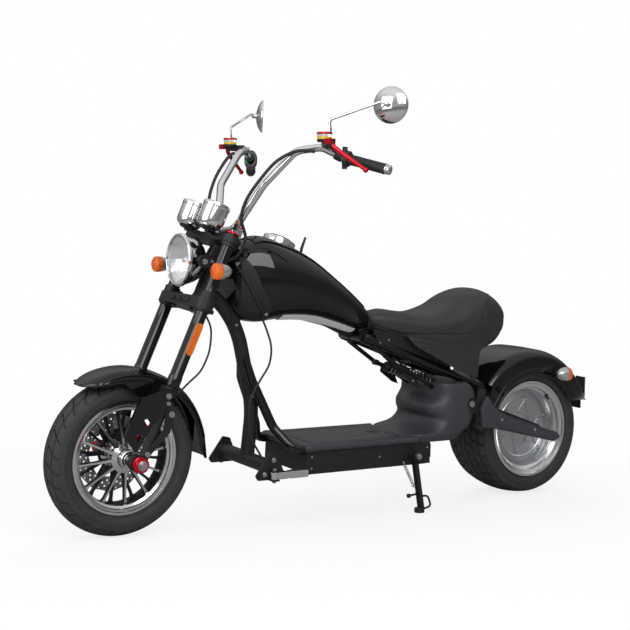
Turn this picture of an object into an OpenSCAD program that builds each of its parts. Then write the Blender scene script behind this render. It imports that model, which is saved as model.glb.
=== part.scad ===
// Electric chopper scooter, parked on its side stand.
// X points forward, Y to the rider's left, Z up; the ground is Z = 0.
// Sizes are those of the upright scooter, whose rear axle is above X = 0.
// The whole scooter then leans to the left until the stand's foot is on the ground.

/* [Stance] */
// Lean of the parked scooter onto its side stand, in degrees
lean = 4; // [3:0.5:5]
// Distance between the axles
wheelbase = 1578; // [1540:1:1620]
// Angle of the steering axis behind the vertical, in degrees
rake = 22; // [20:0.5:24]
// Height of the head point, a point on the steering axis inside the head tube
head_z = 800; // [780:1:820]
// Horizontal distance of the head point behind the front axle
head_setback = 293; // [280:1:305]

/* [Front wheel] */
// Outer radius of the front tyre
front_tyre_r = 236.5; // [232:0.5:242]
// Width of the front tyre
front_tyre_w = 120; // [110:1:130]
// Radius of the front tyre's crown across the tread
front_crown_r = 75; // [65:1:90]
// Radius of the front rim's flange
front_rim_r = 169; // [165:0.5:172]
// Width of the front rim over its flanges
front_rim_w = 88; // [80:1:94]
// Number of spokes on each side of the front wheel
spoke_count = 12; // [10:1:14]
// Radius of the front hub
front_hub_r = 27; // [24:1:32]
// Length of the front hub along the axle
front_hub_w = 150; // [130:1:160]
// Radius of the front brake disc
front_disc_r = 118; // [110:1:125]
// Distance of the brake disc from the wheel's middle
front_disc_y = 56; // [52:1:60]

/* [Rear wheel] */
// Outer radius of the rear tyre
rear_tyre_r = 238.5; // [234:0.5:243]
// Width of the rear tyre
rear_tyre_w = 215; // [205:1:220]
// Radius of the rear tyre's crown across the tread
rear_crown_r = 330; // [280:1:380]
// Radius of the rear rim's flange
rear_rim_r = 172; // [168:0.5:176]
// Width of the rear rim over its flanges
rear_rim_w = 200; // [190:1:204]
// Radius of the hub motor
motor_r = 122; // [112:1:130]
// Width of the hub motor over its covers
motor_w = 112; // [100:1:130]
// Diameter of both axles
axle_d = 16; // [14:1:20]

/* [Fork] */
// Half of the distance between the fork tubes
fork_half = 122; // [118:1:126]
// Distance of the fork tubes ahead of the steering axis
fork_offset = 46; // [42:1:50]
// Diameter of the upper fork tubes
fork_tube_d = 40; // [36:1:42]
// Height of the fork tubes' tops above the head point, along the steering axis
fork_top = 106; // [100:1:115]
// Depth of the upper tubes' lower ends below the head point, along the axis
fork_tube_end = 392; // [380:1:400]
// Diameter of the lower legs
fork_leg_d = 30; // [28:1:32]
// Thickness of the upper clamp
upper_clamp_t = 22; // [18:1:26]
// Thickness of the lower clamp
lower_clamp_t = 34; // [28:1:40]
// Length of the head tube
head_tube_l = 176; // [160:1:180]
// Diameter of the head tube
head_tube_d = 60; // [56:1:64]

/* [Handlebar] */
// Diameter of the handlebar
bar_d = 25; // [24:0.5:28]
// Diameter of the handlebar under the grips
bar_grip_d = 22; // [22:0.2:23]
// Diameter of the grips
grip_d = 34; // [32:1:36]
// Half of the width over the bar's ends
bar_half_w = 412; // [400:1:420]
// Diameter of the mirrors
mirror_d = 118; // [110:1:125]
// Half of the distance between the mirrors
mirror_half = 395; // [380:1:405]
// Height of the mirrors' middles
mirror_z = 1337; // [1310:1:1350]

/* [Lamps and gauges] */
// Diameter of the headlight's rim
headlight_d = 166; // [155:1:170]
// Depth of the headlight
headlight_l = 88; // [80:1:92]
// Diameter of the gauge cups
gauge_d = 88; // [80:1:92]
// Half of the distance between the gauges
gauge_half = 70; // [66:1:76]
// Length of the gauge cups
gauge_l = 82; // [75:1:90]
// Half of the distance between the front turn signals
signal_half = 205; // [195:1:215]
// Diameter of the turn signals
signal_d = 50; // [44:1:54]

/* [Body] */
// Half of the tank's greatest width
tank_half_w = 140; // [130:1:145]
// Half of the seat's greatest width
seat_half_w = 145; // [138:1:150]
// Gap between the rear tyre and the top of its fender, over the fender's sheet
rear_fender_gap = 47.5; // [42:0.5:54]
// Distance of the number plate holder's end behind the rear axle
tail_reach = 352; // [345:1:360]
// Half of the rear fender's width
rear_fender_half = 127; // [124:1:132]
// Gap between the front tyre and the top of its fender, over the fender's sheet
front_fender_gap = 31.5; // [28:0.5:38]
// Half of the front fender's width
front_fender_half = 80; // [76:1:84]
// Half of the deck's width
deck_half_w = 146; // [140:1:150]
// Height of the deck's top
deck_z = 250; // [245:1:256]
// Half of the rear cover's width
cover_half_w = 144; // [138:1:146]

/* [Stand and pegs] */
// Distance of the stand's pivot ahead of the rear axle
stand_x = 560; // [545:1:575]
// Height of the stand's pivot
stand_z = 190; // [184:1:196]
// Half of the distance between the pegs' hinges
peg_half = 171; // [168:1:174]
// Length of a footpeg
peg_l = 118; // [105:1:130]

/* [Hidden] */
$fn = 48;

// Clearance round a turning shaft
shaft_gap = 0.05;
// Diameter of the steering stem
stem_d = 30;
// Clearance between seated pieces
seat_gap = 0.3;
half_turn = 180;

head_x = wheelbase - head_setback;
// Depth of the head tube's middle below the head point
head_drop = 16;
upper_clamp_w = head_tube_l / 2 - head_drop + 6;
lower_clamp_w = -head_tube_l / 2 - head_drop - 5 - lower_clamp_t;
rear_fender_r = rear_tyre_r + rear_fender_gap;
front_fender_r = front_tyre_r + front_fender_gap;
// Stations ahead of body_start stretch with the wheelbase, those behind it stay by the rear wheel
body_start = 300;
body_k = (wheelbase - body_start) / (1578 - body_start);
function st(x) = x < body_start ? x : body_start + (x - body_start) * body_k;

function unit(v) = v / norm(v);
function mirror_y(v) = [v[0], -v[1], v[2]];

// Outline of a tyre's half section: [radius, distance from the middle], crown arc then shoulder and sidewall
function tyre_crown(r, w, crown, tread) =
  [for (i = [-4:4]) let (y = tread * i / 4) [r - crown + sqrt(crown * crown - y * y), y]];
function axle_height(r, crown, tread) =
  max([for (p = tyre_crown(r, 0, crown, tread)) p[0] + p[1] * tan(lean)]);
front_tread = front_tyre_w * 0.40;
rear_tread = rear_tyre_w * 0.42;
front_axle_z = axle_height(front_tyre_r, front_crown_r, front_tread);
rear_axle_z = axle_height(rear_tyre_r, rear_crown_r, rear_tread);

// The front axle in the steering axis's own frame
axle_u = head_setback * cos(rake) + (front_axle_z - head_z) * sin(rake);
axle_w = -head_setback * sin(rake) + (front_axle_z - head_z) * cos(rake);

// The origin is on the ground below the middle of the parked scooter's outer box
origin_x = (wheelbase + front_tyre_r - tail_reach) / 2;
origin_y = mirror_z * sin(lean);
// Places the upright scooter as it is parked
module parked() { translate([-origin_x, -origin_y, 0]) rotate([-lean, 0, 0]) children(); }
// The steering axis's frame: X forward across the axis, Z up along it
module steering() { translate([head_x, 0, head_z]) rotate([0, -rake, 0]) children(); }
module at_rear_axle() { translate([0, 0, rear_axle_z]) children(); }
module at_front_axle() { translate([wheelbase, 0, front_axle_z]) children(); }
module both_sides() { children(); mirror([0, 1, 0]) children(); }
// Turns a profile of [radius, Y] points about the axle
module wheel_turn() { rotate([-90, 0, 0]) rotate_extrude() children(); }
module across(y0, y1, d) { translate([0, y0, 0]) rotate([-90, 0, 0]) cylinder(h = y1 - y0, d = d); }

// A straight round bar between two points
module rod(a, b, d) {
  v = b - a;
  translate(a) rotate([0, acos(v[2] / norm(v)), atan2(v[1], v[0])]) cylinder(h = norm(v), d = d);
}

// Points of a line through pts whose corners are rounded to radius r
function bend_path(pts, r) = [
  pts[0],
  for (i = [1:len(pts) - 2])
    let (a = unit(pts[i] - pts[i - 1]), b = unit(pts[i + 1] - pts[i]), turn = acos(a * b),
         n = max(1, ceil(turn / 15)), side = unit(cross(cross(a, b), a)),
         start = pts[i] - a * r * tan(turn / 2))
      each [for (k = [0:n]) start + r * sin(turn * k / n) * a + r * (1 - cos(turn * k / n)) * side],
  pts[len(pts) - 1]];
// A round bar bent at its inner points to radius r; ref is a direction that the bar never takes
module bent_rod(pts, d, r, ref = [0, 1, 0], sides = 12) { sweep(bend_path(pts, r), d, ref, sides); }
module sweep(path, d, ref, sides) {
  n = len(path);
  loft([for (i = [0:n - 1])
    let (t = unit((i > 0 ? unit(path[i] - path[i - 1]) : [0, 0, 0])
                + (i < n - 1 ? unit(path[i + 1] - path[i]) : [0, 0, 0])),
         s = unit(cross(ref, t)), u = cross(t, s))
      [for (k = [0:sides - 1]) path[i] + d / 2 * (cos(360 * k / sides) * s - sin(360 * k / sides) * u)]]);
}

// A smooth curve through rows of a table: every row is [station, value, value, ...]
function curve_row(a, b, c, d, t) =
  0.5 * (2 * b + (c - a) * t + (2 * a - 5 * b + 4 * c - d) * t * t + (3 * b - a - 3 * c + d) * t * t * t);
function smooth_rows(rows, steps) = [
  for (i = [0:len(rows) - 2], k = [0:steps - 1])
    curve_row(rows[max(i - 1, 0)], rows[i], rows[i + 1], rows[min(i + 2, len(rows) - 1)], k / steps),
  rows[len(rows) - 1]];
function power(v, e) = sign(v) * pow(abs(v), e);
// One point at angle a on a section across X: row is [x, half width, bottom, top, roundness], grown by g
function section_point(row, a, g) =
  [row[0], (row[1] + g) * power(cos(a), 2 / row[4]),
   (row[2] + row[3]) / 2 + ((row[3] - row[2]) / 2 + g) * power(sin(a), 2 / row[4])];
function ring(row, n, g = 0) = [for (k = [0:n - 1]) section_point(row, 360 * (k + 0.5) / n, g)];
// A skin on the sections from angle a0 to a1 (columns 5 and 6), between growths g0 and g1
function skin_ring(row, n, g0, g1) = concat(
  [for (k = [0:n]) section_point(row, row[5] + (row[6] - row[5]) * k / n, g1)],
  [for (k = [n:-1:0]) section_point(row, row[5] + (row[6] - row[5]) * k / n, g0)]);
module loft(rings) {
  n = len(rings[0]);
  m = len(rings);
  polyhedron(
    points = [for (r = rings) each r],
    faces = [
      [for (k = [n - 1:-1:0]) k],
      for (i = [0:m - 2], k = [0:n - 1]) let (j = (k + 1) % n)
        [i * n + k, i * n + j, (i + 1) * n + j, (i + 1) * n + k],
      [for (k = [0:n - 1]) (m - 1) * n + k]],
    convexity = 4);
}

// A cord's tube along a list of points, eight sides
module cord(pts, d, ref = [0, 1, 0]) { sweep(pts, d, ref, 8); }

// Frame
head = [head_x, 0, head_z];
peg_pin_d = 10;
peg_side_gap = 0.5;
down_tube_d = 46;
side_tube_d = 30;
cross_tube_d = 46;
frame_foot_x = wheelbase - 446;
frame_foot_z = 196;
frame_foot = [frame_foot_x, 0, frame_foot_z];
backbone_d = 44;
// Middle of the crossbar where the backbone ends and the seat rails start
rail_bar = [st(738), 0, 582];
backbone = [head + [-10, 0, 10], head + [-385 * body_k, 0, -140], rail_bar + [2, 0, 8]];
down_tube = [head + [10, 0, -70], frame_foot + [62, 0, 444], frame_foot + [-12, 0, 164], frame_foot];
// Front end of the deck and of the box beam under it
deck_front = frame_foot_x - 147;
// Rear end of the flat deck
deck_back = st(575) + seat_gap;
side_plate_y = 149;
side_plate_t = 7.5;
peg_lug_t = 5;
peg_hub_h = 22;
peg_hub_d = 26;
// Head tube, with a bearing seat at each end of its hollow
bearing_l = 14;
module head_tube() color("#15161a") parked() steering() translate([0, 0, -head_tube_l / 2 - head_drop]) difference() {
  cylinder(h = head_tube_l, d = head_tube_d);
  translate([0, 0, -1]) cylinder(h = head_tube_l + 2, d = stem_d + 2 * shaft_gap);
  translate([0, 0, bearing_l]) cylinder(h = head_tube_l - 2 * bearing_l, d = head_tube_d - 12);
}
module frame() color("#26272b") parked() {
  difference() {
    union() {
      bent_rod(down_tube, down_tube_d, 100, sides = 16);
      bent_rod(backbone, backbone_d, 60, sides = 16);
    }
    steering() translate([0, 0, -head_tube_l]) cylinder(h = 2 * head_tube_l, d = head_tube_d + 0.2);
    translate(frame_foot) across(-side_plate_y - 1, side_plate_y + 1, cross_tube_d - 4);
  }
  translate(frame_foot) across(-side_plate_y - 1, side_plate_y + 1, cross_tube_d);
  both_sides() translate([frame_foot_x, side_plate_y, frame_foot_z]) rotate([90, 0, 0]) mirror([0, 0, 1])
    linear_extrude(side_plate_t) polygon([[-56, -38], [46, -38], [56, -24], [6, 46], [-20, 40]]);
  both_sides() {
    for (z = [-peg_hub_h / 2 - peg_side_gap - peg_lug_t, peg_hub_h / 2 + peg_side_gap])
      translate(peg_hinge + [-peg_hub_d / 2, -15, z]) cube([peg_hub_d, 28, peg_lug_t]);
    translate(peg_hinge + [0, 0, -peg_hub_h / 2 - peg_lug_t - 4])
      cylinder(h = peg_hub_h + 2 * peg_lug_t + 8, d = peg_pin_d);
  }
}
// Twin bent tubes from the down tube to the deck's sides
module deck_loops() color("#0c0c0e") parked() both_sides()
  bent_rod([frame_foot + [8, (down_tube_d + side_tube_d) / 2, 244], frame_foot + [-60, 56, 104], [deck_front + 44, 118, deck_z - 15],
    [deck_front + seat_gap, 118, deck_z - 15]], side_tube_d, 40);

// Twin rails under the seat, from the backbone's end down to the fender's front edge
rail_d = 30;
fender_start = 38;
// Tube across the rails' rear ends, against the rear fender's front edge
rear_tube_d = 20;
rear_tube_a = fender_start - asin((rear_tube_d / 2 + seat_gap) / rear_fender_r);
rear_tube = [(rear_fender_r - 6) * cos(rear_tube_a), 0, rear_axle_z + (rear_fender_r - 6) * sin(rear_tube_a)];
rail = [rail_bar + [0, 62, 0], [st(560), 74, 520], rear_tube + [0, 92, -6]];
// Braces below the rails, down to the rear cover's front edge
brace = [[st(702), 70, 556], [st(594), 70, 485], [st(505), 70, 442], [st(436), 70, 404]];
// Flat band between each rail and the seat
band = [[st(708), 610], [st(680), 562], [st(560), 520], [st(366), 456], [st(362), 488], [st(440), 530], [st(480), 575],
  [st(650), 600]];
module seat_rails() color("#101114") parked() {
  difference() {
    union() {
      both_sides() bent_rod(rail, rail_d, 60);
      translate(rail_bar) across(-62, 62, rail_d - 2);
    }
    bent_rod(backbone, backbone_d + 2 * seat_gap, 60, sides = 16);
  }
  rod([st(470), -74, 486], [st(470), 74, 486], 18);
  both_sides() bent_rod(brace, 15, 60);
  both_sides() difference() {
    translate([0, 80, 0]) rotate([90, 0, 0]) linear_extrude(7) polygon(band);
    seat_form(seat_gap);
  }
  translate(rear_tube) across(-92, 92, rear_tube_d);
  both_sides() difference() {
    rod([st(612), 62, 530], [st(600), 46, 640], 18);
    seat_form(seat_gap);
  }
}

// Deck with its rolled edge, border groove and the filler dimple near the rear
deck_edge_d = 24;
module deck() color("#2b2c30") parked() difference() {
  union() {
    translate([deck_back, -deck_half_w + deck_edge_d / 2, deck_z - 18])
      cube([deck_front - deck_back, 2 * deck_half_w - deck_edge_d, 18]);
    both_sides() translate([deck_back, deck_half_w - deck_edge_d / 2, deck_z - 9]) rotate([0, 90, 0])
      cylinder(h = deck_front - deck_back, d = deck_edge_d);
  }
  both_sides() translate([deck_back + 30, deck_half_w - 42, deck_z - 2]) cube([deck_front - deck_back - 60, 5, 5]);
  for (x = [deck_back + 30, deck_front - 35]) translate([x, -deck_half_w + 42, deck_z - 2])
    cube([5, 2 * deck_half_w - 84, 5]);
  translate([deck_back + 62, 0, deck_z - 4]) cylinder(h = 10, d = 40);
}

battery_box_half = 132;
battery_box_z = 158;
box_back = st(486);
stand_y = 158;
stand_pin_d = 12;
stand_pivot = [stand_x, stand_y, stand_z];
module battery_box() color("#1a1b1d") parked() {
  translate([box_back, -battery_box_half, battery_box_z])
    cube([deck_front - box_back, 2 * battery_box_half, deck_z - 21 - seat_gap - battery_box_z]);
  translate(stand_pivot) {
    across(-stand_y + battery_box_half - 2, 10, stand_pin_d);
    translate([0, -stand_y + battery_box_half - 2, 0]) across(0, stand_y - battery_box_half - 10, 40);
  }
}

// Rear cover, its front fluted across and flared down to the deck
// Columns z, rear x, front x, half width as a share
cover_base = deck_z - 21;
cover_rows = [
  [cover_base, 330, 574, 0.94],
  [deck_z, 306, 574.6, 1.00],
  [256, 300, 556, 1.00],
  [263, 294, 516, 1.00],
  [276, 284, 482, 1.01],
  [300, 272, 464, 1.02],
  [322, 265, 475, 1.02],
  [344, 262, 477, 1.01],
  [360, 262, 462, 1.00],
  [378, 264, 441, 0.99],
  [398, 272, 438, 0.97],
  [414, 288, 440, 0.94],
  [423, 310, 425, 0.86]];
function cover_ring(r, n) = [for (k = [0:n - 1]) let (a = 360 * (k + 0.5) / n)
  [(st(r[1]) + st(r[2])) / 2 + (st(r[2]) - st(r[1])) / 2 * power(cos(a), 0.62),
   r[3] * cover_half_w * power(sin(a), 0.62), r[0]]];
module rear_cover() color("#33343a") parked() {
  difference() {
    loft([for (r = smooth_rows(cover_rows, 2)) cover_ring(r, 28)]);
    both_sides() bent_rod(rail, rail_d + 2 * seat_gap, 60);
    both_sides() bent_rod(brace, 15 + 2 * seat_gap, 60);
    both_sides() translate([0, arm_y + 10 - seat_gap, 0]) arm_outline(60, seat_gap);
    translate(arm_pivot) across(-arm_y - 60, arm_y + 60, 34 + 2 * seat_gap);
    both_sides() for (r = shock_rods) rod(r[0], r[1], r[2] + 2 * seat_gap);
  }
}

// Tank, from the head point: columns x, half width as a share, bottom, top, roundness
tank_rows = [
  [-53, 0.44, -110, 38, 3.2],
  [-85, 0.60, -152, 80, 2.8],
  [-145, 0.82, -166, 108, 2.4],
  [-225, 0.97, -158, 93, 2.3],
  [-325, 1.00, -160, 50, 2.3],
  [-425, 0.86, -180, -15, 2.4],
  [-515, 0.60, -202, -75, 2.5],
  [-585, 0.34, -202, -128, 2.8]];
lid_x = head_x - 245 * body_k;
lid_z = head_z + 100;
lid_slope = 22;
module tank() color("#08080a") parked() {
  difference() {
    loft([for (r = tank_smooth) ring(r, 24)]);
    bent_rod(down_tube, down_tube_d + 2 * seat_gap, 100, sides = 16);
    bent_rod(backbone, backbone_d + 2 * seat_gap, 60, sides = 16);
    steering() translate([0, 0, -150]) cylinder(h = 300, d = head_tube_d + 2 * seat_gap);
    translate([lid_x, 0, lid_z]) rotate([0, -lid_slope, 0]) translate([0, 0, -24]) cylinder(h = 100, d = 111);
    seat_rails_front(seat_gap);
  }
}
// The rails' front ends, grown by g
module seat_rails_front(g) {
  both_sides() bent_rod(rail, rail_d + 2 * g, 60);
  translate(rail_bar) across(-62, 62, rail_d - 2 + 2 * g);
}
module tank_lid() color("silver") parked() {
  translate([lid_x, 0, lid_z]) rotate([0, -lid_slope, 0]) translate([0, 0, -23.7]) {
    cylinder(h = 26, d = 110);
    cylinder(h = 32, d = 78);
  }
}
// Rows of a skin on the tank: stations as shares of the tank's smoothed rows, with the skin's angles
tank_smooth = [for (r = smooth_rows(tank_rows, 3)) [r[0] * body_k + head_x, r[1] * tank_half_w, r[2] + head_z, r[3] + head_z, r[4]]];
function tank_skin(first, last, low, high, g0, g1) = [
  for (i = [first:last]) let (t = (i - first) / (last - first))
    skin_ring(concat(tank_smooth[i], [low[0] + (low[1] - low[0]) * t, high[0] + (high[1] - high[0]) * t]), 6, g0, g1)];
module tank_side_panels() color("#1c1d20") parked() both_sides()
  loft(tank_skin(1, 6, [-62, -66], [50, -30], 5 * seat_gap, 5));
module tank_strip() color("silver") parked() both_sides()
  loft(tank_skin(8, 17, [-72, -72], [-52, -48], 5 * seat_gap, 4));

// Seat: columns x, half width, bottom, top, roundness above its widest line; its lower half is boxy
seat_rows = [
  [694, 0.26, 622, 664, 2.4],
  [650, 0.50, 601, 673, 2.6],
  [560, 0.74, 577, 661, 2.8],
  [470, 0.90, 555, 657, 2.8],
  [380, 0.98, 535, 682, 2.7],
  [310, 1.00, 527, 722, 2.6],
  [245, 0.97, 521, 744, 2.4],
  [185, 0.86, 523, 734, 2.3],
  [135, 0.65, 538, 704, 2.2],
  [104, 0.38, 568, 662, 2.2]];
seat_low_roundness = 6;
function seat_ring(r, g) = [for (k = [0:23]) let (a = 360 * (k + 0.5) / 24)
  section_point([st(r[0]), r[1] * seat_half_w, r[2], r[3], a > 180 ? seat_low_roundness : r[4]], a, g)];
module seat_form(g) { loft([for (r = smooth_rows(seat_rows, 3)) seat_ring(r, g)]); }
// Side flaps of the seat's rear, outside the rails
seat_flap = [[262, 575], [372, 575], [370, 530], [352, 466], [318, 446], [282, 440], [272, 490]];
module seat() color("#1d1d20") parked() {
  seat_form(0);
  both_sides() translate([0, seat_half_w - 1, 0]) rotate([90, 0, 0]) linear_extrude(10) polygon([for (p = seat_flap) [st(p[0]), p[1]]]);
}

// Rear arms and their covers
arm_pivot = [st(320), 0, 350];
arm_y = 120;
module arm_outline(t, g = 0) {
  rotate([90, 0, 0]) mirror([0, 0, 1]) linear_extrude(t)
    polygon([[arm_pivot[0] + 12 + g, arm_pivot[2] + 24 + g], [arm_pivot[0] + 12 + g, arm_pivot[2] - 26 - g],
      [0, rear_axle_z - 22], [-30, rear_axle_z], [0, rear_axle_z + 22]]);
}
module swingarm() color("#111214") parked() {
  difference() {
    union() {
      both_sides() translate([0, arm_y + 10, 0]) arm_outline(14);
      translate(arm_pivot) across(-arm_y - 24, arm_y + 24, 34);
    }
    at_rear_axle() across(-200, 200, axle_d + 0.4);
  }
}
module arm_covers() color("#2a2b2f") parked() {
  both_sides() translate([0, arm_y + 24 + seat_gap, 0]) rotate([90, 0, 0]) mirror([0, 0, 1])
    linear_extrude(20) polygon([[258, 380], [283, 332], [276, 268], [238, 264], [196, 256], [-66, 198], [-97, 213],
      [-82, 230], [60, 272], [160, 303], [205, 322], [236, 350]]);
}
module rear_axle() color("silver") parked() {
  at_rear_axle() {
    across(-arm_y - 24, arm_y + 24, axle_d);
    both_sides() translate([0, arm_y - 4, 0]) across(0, 13.7, 30);
  }
}
// Shocks under the rails: start, end, diameter
shock_rods = [[[st(604), 40, 482], [st(560), 40, 466], 20], [[st(560), 40, 466], [st(420), 40, 418], 36]];
module rear_shocks() color("#222327") parked() both_sides() for (r = shock_rods) rod(r[0], r[1], r[2]);

// Rear fender: half section as [radius, Y], turned about the axle
fender_t = 4;
module arch_section(r, half, side_r, t) {
  difference() {
    polygon([[side_r, half], [r - 26, half], [r - 8, half - 14], [r, half - 44], [r, -half + 44],
      [r - 8, -half + 14], [r - 26, -half], [side_r, -half]]);
    polygon([[side_r - 1, half - t], [r - 26 - t * 0.4, half - t], [r - 8 - t, half - 14 - t], [r - t, half - 44],
      [r - t, -half + 44], [r - 8 - t, -half + 14 + t], [r - 26 - t * 0.4, -half + t], [side_r - 1, -half + t]]);
  }
}
module rear_fender() color("#08080a") parked() {
  at_rear_axle() rotate([90, 0, 0]) rotate([0, 0, fender_start]) rotate_extrude(angle = 124)
    arch_section(rear_fender_r, rear_fender_half, 196, fender_t);
}
plate_w = 140;
plate_hole_y = 45;
plate_hole_z = 372;
plate_bar_z = 352;
// Where the plate holder's bar meets the fender
plate_bar_x = sqrt(pow(rear_fender_r, 2) - pow(plate_bar_z - rear_axle_z, 2)) + seat_gap;
module plate_holder() color("#161718") parked() {
  difference() {
    translate([-tail_reach, -plate_w / 2, 318]) cube([5, plate_w, 84]);
    both_sides() translate([-tail_reach - 10, plate_hole_y, plate_hole_z]) rotate([0, 90, 0]) cylinder(h = 40, d = 7);
  }
  translate([-tail_reach + 4, -22, plate_bar_z]) cube([tail_reach - 4 - plate_bar_x, 44, 10]);
}
module bullet_signal() {
  rotate([0, 90, 0]) {
    cylinder(h = 22, d = signal_d);
    translate([0, 0, -26]) cylinder(h = 26, d1 = 30, d2 = signal_d);
  }
}
rear_signal = [-101, 168, 441];
module rear_lamps() color("#f07a10") parked() {
  at_rear_axle() rotate([0, -60, 0]) translate([0, -42, rear_fender_r + seat_gap]) cube([44, 84, 22]);
  both_sides() translate(rear_signal) {
    translate([0, -rear_signal[1], 0]) across(rear_fender_half + seat_gap, rear_signal[1], 12);
    mirror([1, 0, 0]) bullet_signal();
  }
}
module rear_caliper() color("#c01a1a") parked() {
  at_rear_axle() translate([76, -arm_y - 10 + seat_gap, 20]) cube([56, 30, 44]);
}
// Route of the rear brake hose, from under the tank down to the frame's foot
rear_hose_pts = [for (p = [[14, 84, 655.8], [-4, 90, 610], [-20, 92, 560], [-14, 92, 505], [18, 92, 455], [48, 92, 400],
  [52, 92, 340], [40, 92, 280], [2.6, 92, 220.8]]) p + [frame_foot_x, 0, 0]];
module rear_hose() color("#0c0c0d") parked() cord(smooth_rows(rear_hose_pts, 3), 7);

// Side stand
foot_y = 198;
stand_foot = [stand_x + 16, foot_y, foot_y * tan(lean)];
// Aims Z from point a to point b
module aim(a, b) { v = b - a; translate(a) rotate([0, acos(v[2] / norm(v)), atan2(v[1], v[0])]) children(); }
module stand_leg() color("#17181a") parked() {
  leg_top = stand_pivot + [0, 0, -10];
  leg_end = stand_foot + [0, 0, 14];
  difference() {
    union() {
      translate(stand_pivot) across(-8, 8, 34);
      aim(leg_top, leg_end) translate([-8, -9, 0]) cube([16, 18, norm(leg_end - leg_top)]);
    }
    translate(stand_pivot) across(-20, 20, stand_pin_d + 2 * shaft_gap);
    aim(leg_top, leg_end) translate([2, -4, 24]) cube([20, 8, norm(leg_end - leg_top) - 40]);
  }
  translate(stand_foot) rotate([lean, 0, 0]) cylinder(h = 16, d = 34);
  bent_rod([stand_foot + [-8, 2, 10], stand_foot + [-40, 10, 20], stand_foot + [-36, -4, 52], stand_foot + [-2, -11, 50]], 7, 12, [0, 1, 0.2], 8);
  rod(stand_foot + [4, -14, 58], stand_foot + [34, -12, 56], 7);
  rod(stand_foot + [32, -12, 56], stand_foot + [43, -12, 55], 14);
}
module stand_spring() color("silver") parked() {
  rod(stand_pivot + [46, battery_box_half - stand_y + 5.75, -16], stand_pivot + [24.2, 19, -98], 12);
}

// Footpegs, folded back along the scooter
peg_hinge = [frame_foot_x - 2, peg_half, frame_foot_z - 22];
module footpeg() {
  difference() {
    union() {
      translate([0, 0, -peg_hub_h / 2]) cylinder(h = peg_hub_h, d = peg_hub_d);
      translate([-44, -peg_hub_d / 2, -peg_hub_h / 2]) cube([44, peg_hub_d, peg_hub_h]);
      translate([-peg_l, 0, 0]) rotate([0, 90, 0]) cylinder(h = peg_l - 40, d = peg_hub_h - 2);
      for (x = [-peg_l, -peg_l + 24, -peg_l + 48]) translate([x, 0, 0]) rotate([0, 90, 0]) cylinder(h = 6, d = peg_hub_h + 3);
    }
    translate([0, 0, -20]) cylinder(h = 40, d = peg_pin_d + 2 * shaft_gap);
  }
}
module peg_left() color("silver") parked() translate(peg_hinge) footpeg();
module peg_right() color("silver") parked() translate(mirror_y(peg_hinge)) footpeg();

// Rear wheel
function tyre_points(r, w, crown, tread, rim_r, rim_w) =
  let (drop = crown - sqrt(crown * crown - tread * tread),
       side = [[r - drop - 14, w / 2 - 4], [(r + rim_r) / 2, w / 2], [rim_r + 5, w / 2 - 5],
               [rim_r + 0.4, rim_w / 2 - 6.3], [rim_r - 2, rim_w / 2 - 8.3], [rim_r - 15, rim_w / 2 - 8.3]])
    concat([for (i = [len(side) - 1:-1:0]) [side[i][0], -side[i][1]]],
           tyre_crown(r, w, crown, tread), side);
module rear_tyre() color("#222224") parked() at_rear_axle() wheel_turn()
  polygon(tyre_points(rear_tyre_r, rear_tyre_w, rear_crown_r, rear_tread, rear_rim_r, rear_rim_w));
module rear_rim() color("silver") parked() at_rear_axle() wheel_turn() {
  h = rear_rim_w / 2;
  r = rear_rim_r;
  polygon([[r - 22, -h + 16], [r - 15.3, -h + 8], [r - 2, -h + 8], [r, -h + 6], [r, -h], [r - 5, -h],
    [r - 7, -h + 3], [r - 22, -h + 8], [r - 30, -h + 30],
    [motor_r + 6, -motor_w / 2 + 8], [motor_r + 6, motor_w / 2 - 8],
    [r - 30, h - 30], [r - 22, h - 8], [r - 7, h - 3], [r - 5, h], [r, h], [r, h - 6], [r - 2, h - 8],
    [r - 15.3, h - 8], [r - 22, h - 16]]);
}
rear_disc_y = -motor_w / 2 - 28;
module motor_hub() color("#b4b6ba") parked() at_rear_axle() {
  h = motor_w / 2;
  a = axle_d / 2 + shaft_gap;
  wheel_turn() polygon([[a, -h - 30], [24, -h - 30], [28, -h], [motor_r - 14, -h + 4], [motor_r + 5.7, -h + 12],
    [motor_r + 5.7, h - 12], [motor_r - 14, h - 4], [28, h], [24, h + 20], [a, h + 20]]);
  translate([0, h - 6, 0]) rotate([-90, 0, 0]) for (turn = [0, 60]) rotate([0, 0, turn]) linear_extrude(8)
    difference() {
      circle(r = motor_r - 20, $fn = 3);
      circle(r = motor_r - 34, $fn = 3);
    }
  difference() {
    translate([0, rear_disc_y, 0]) across(0, 4, 200);
    translate([0, rear_disc_y - 10, 0]) across(0, 20, axle_d + 2 * shaft_gap);
  }
}

// Front wheel
module front_tyre() color("#222224") parked() at_front_axle() wheel_turn()
  polygon(tyre_points(front_tyre_r, front_tyre_w, front_crown_r, front_tread, front_rim_r, front_rim_w));
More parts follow.
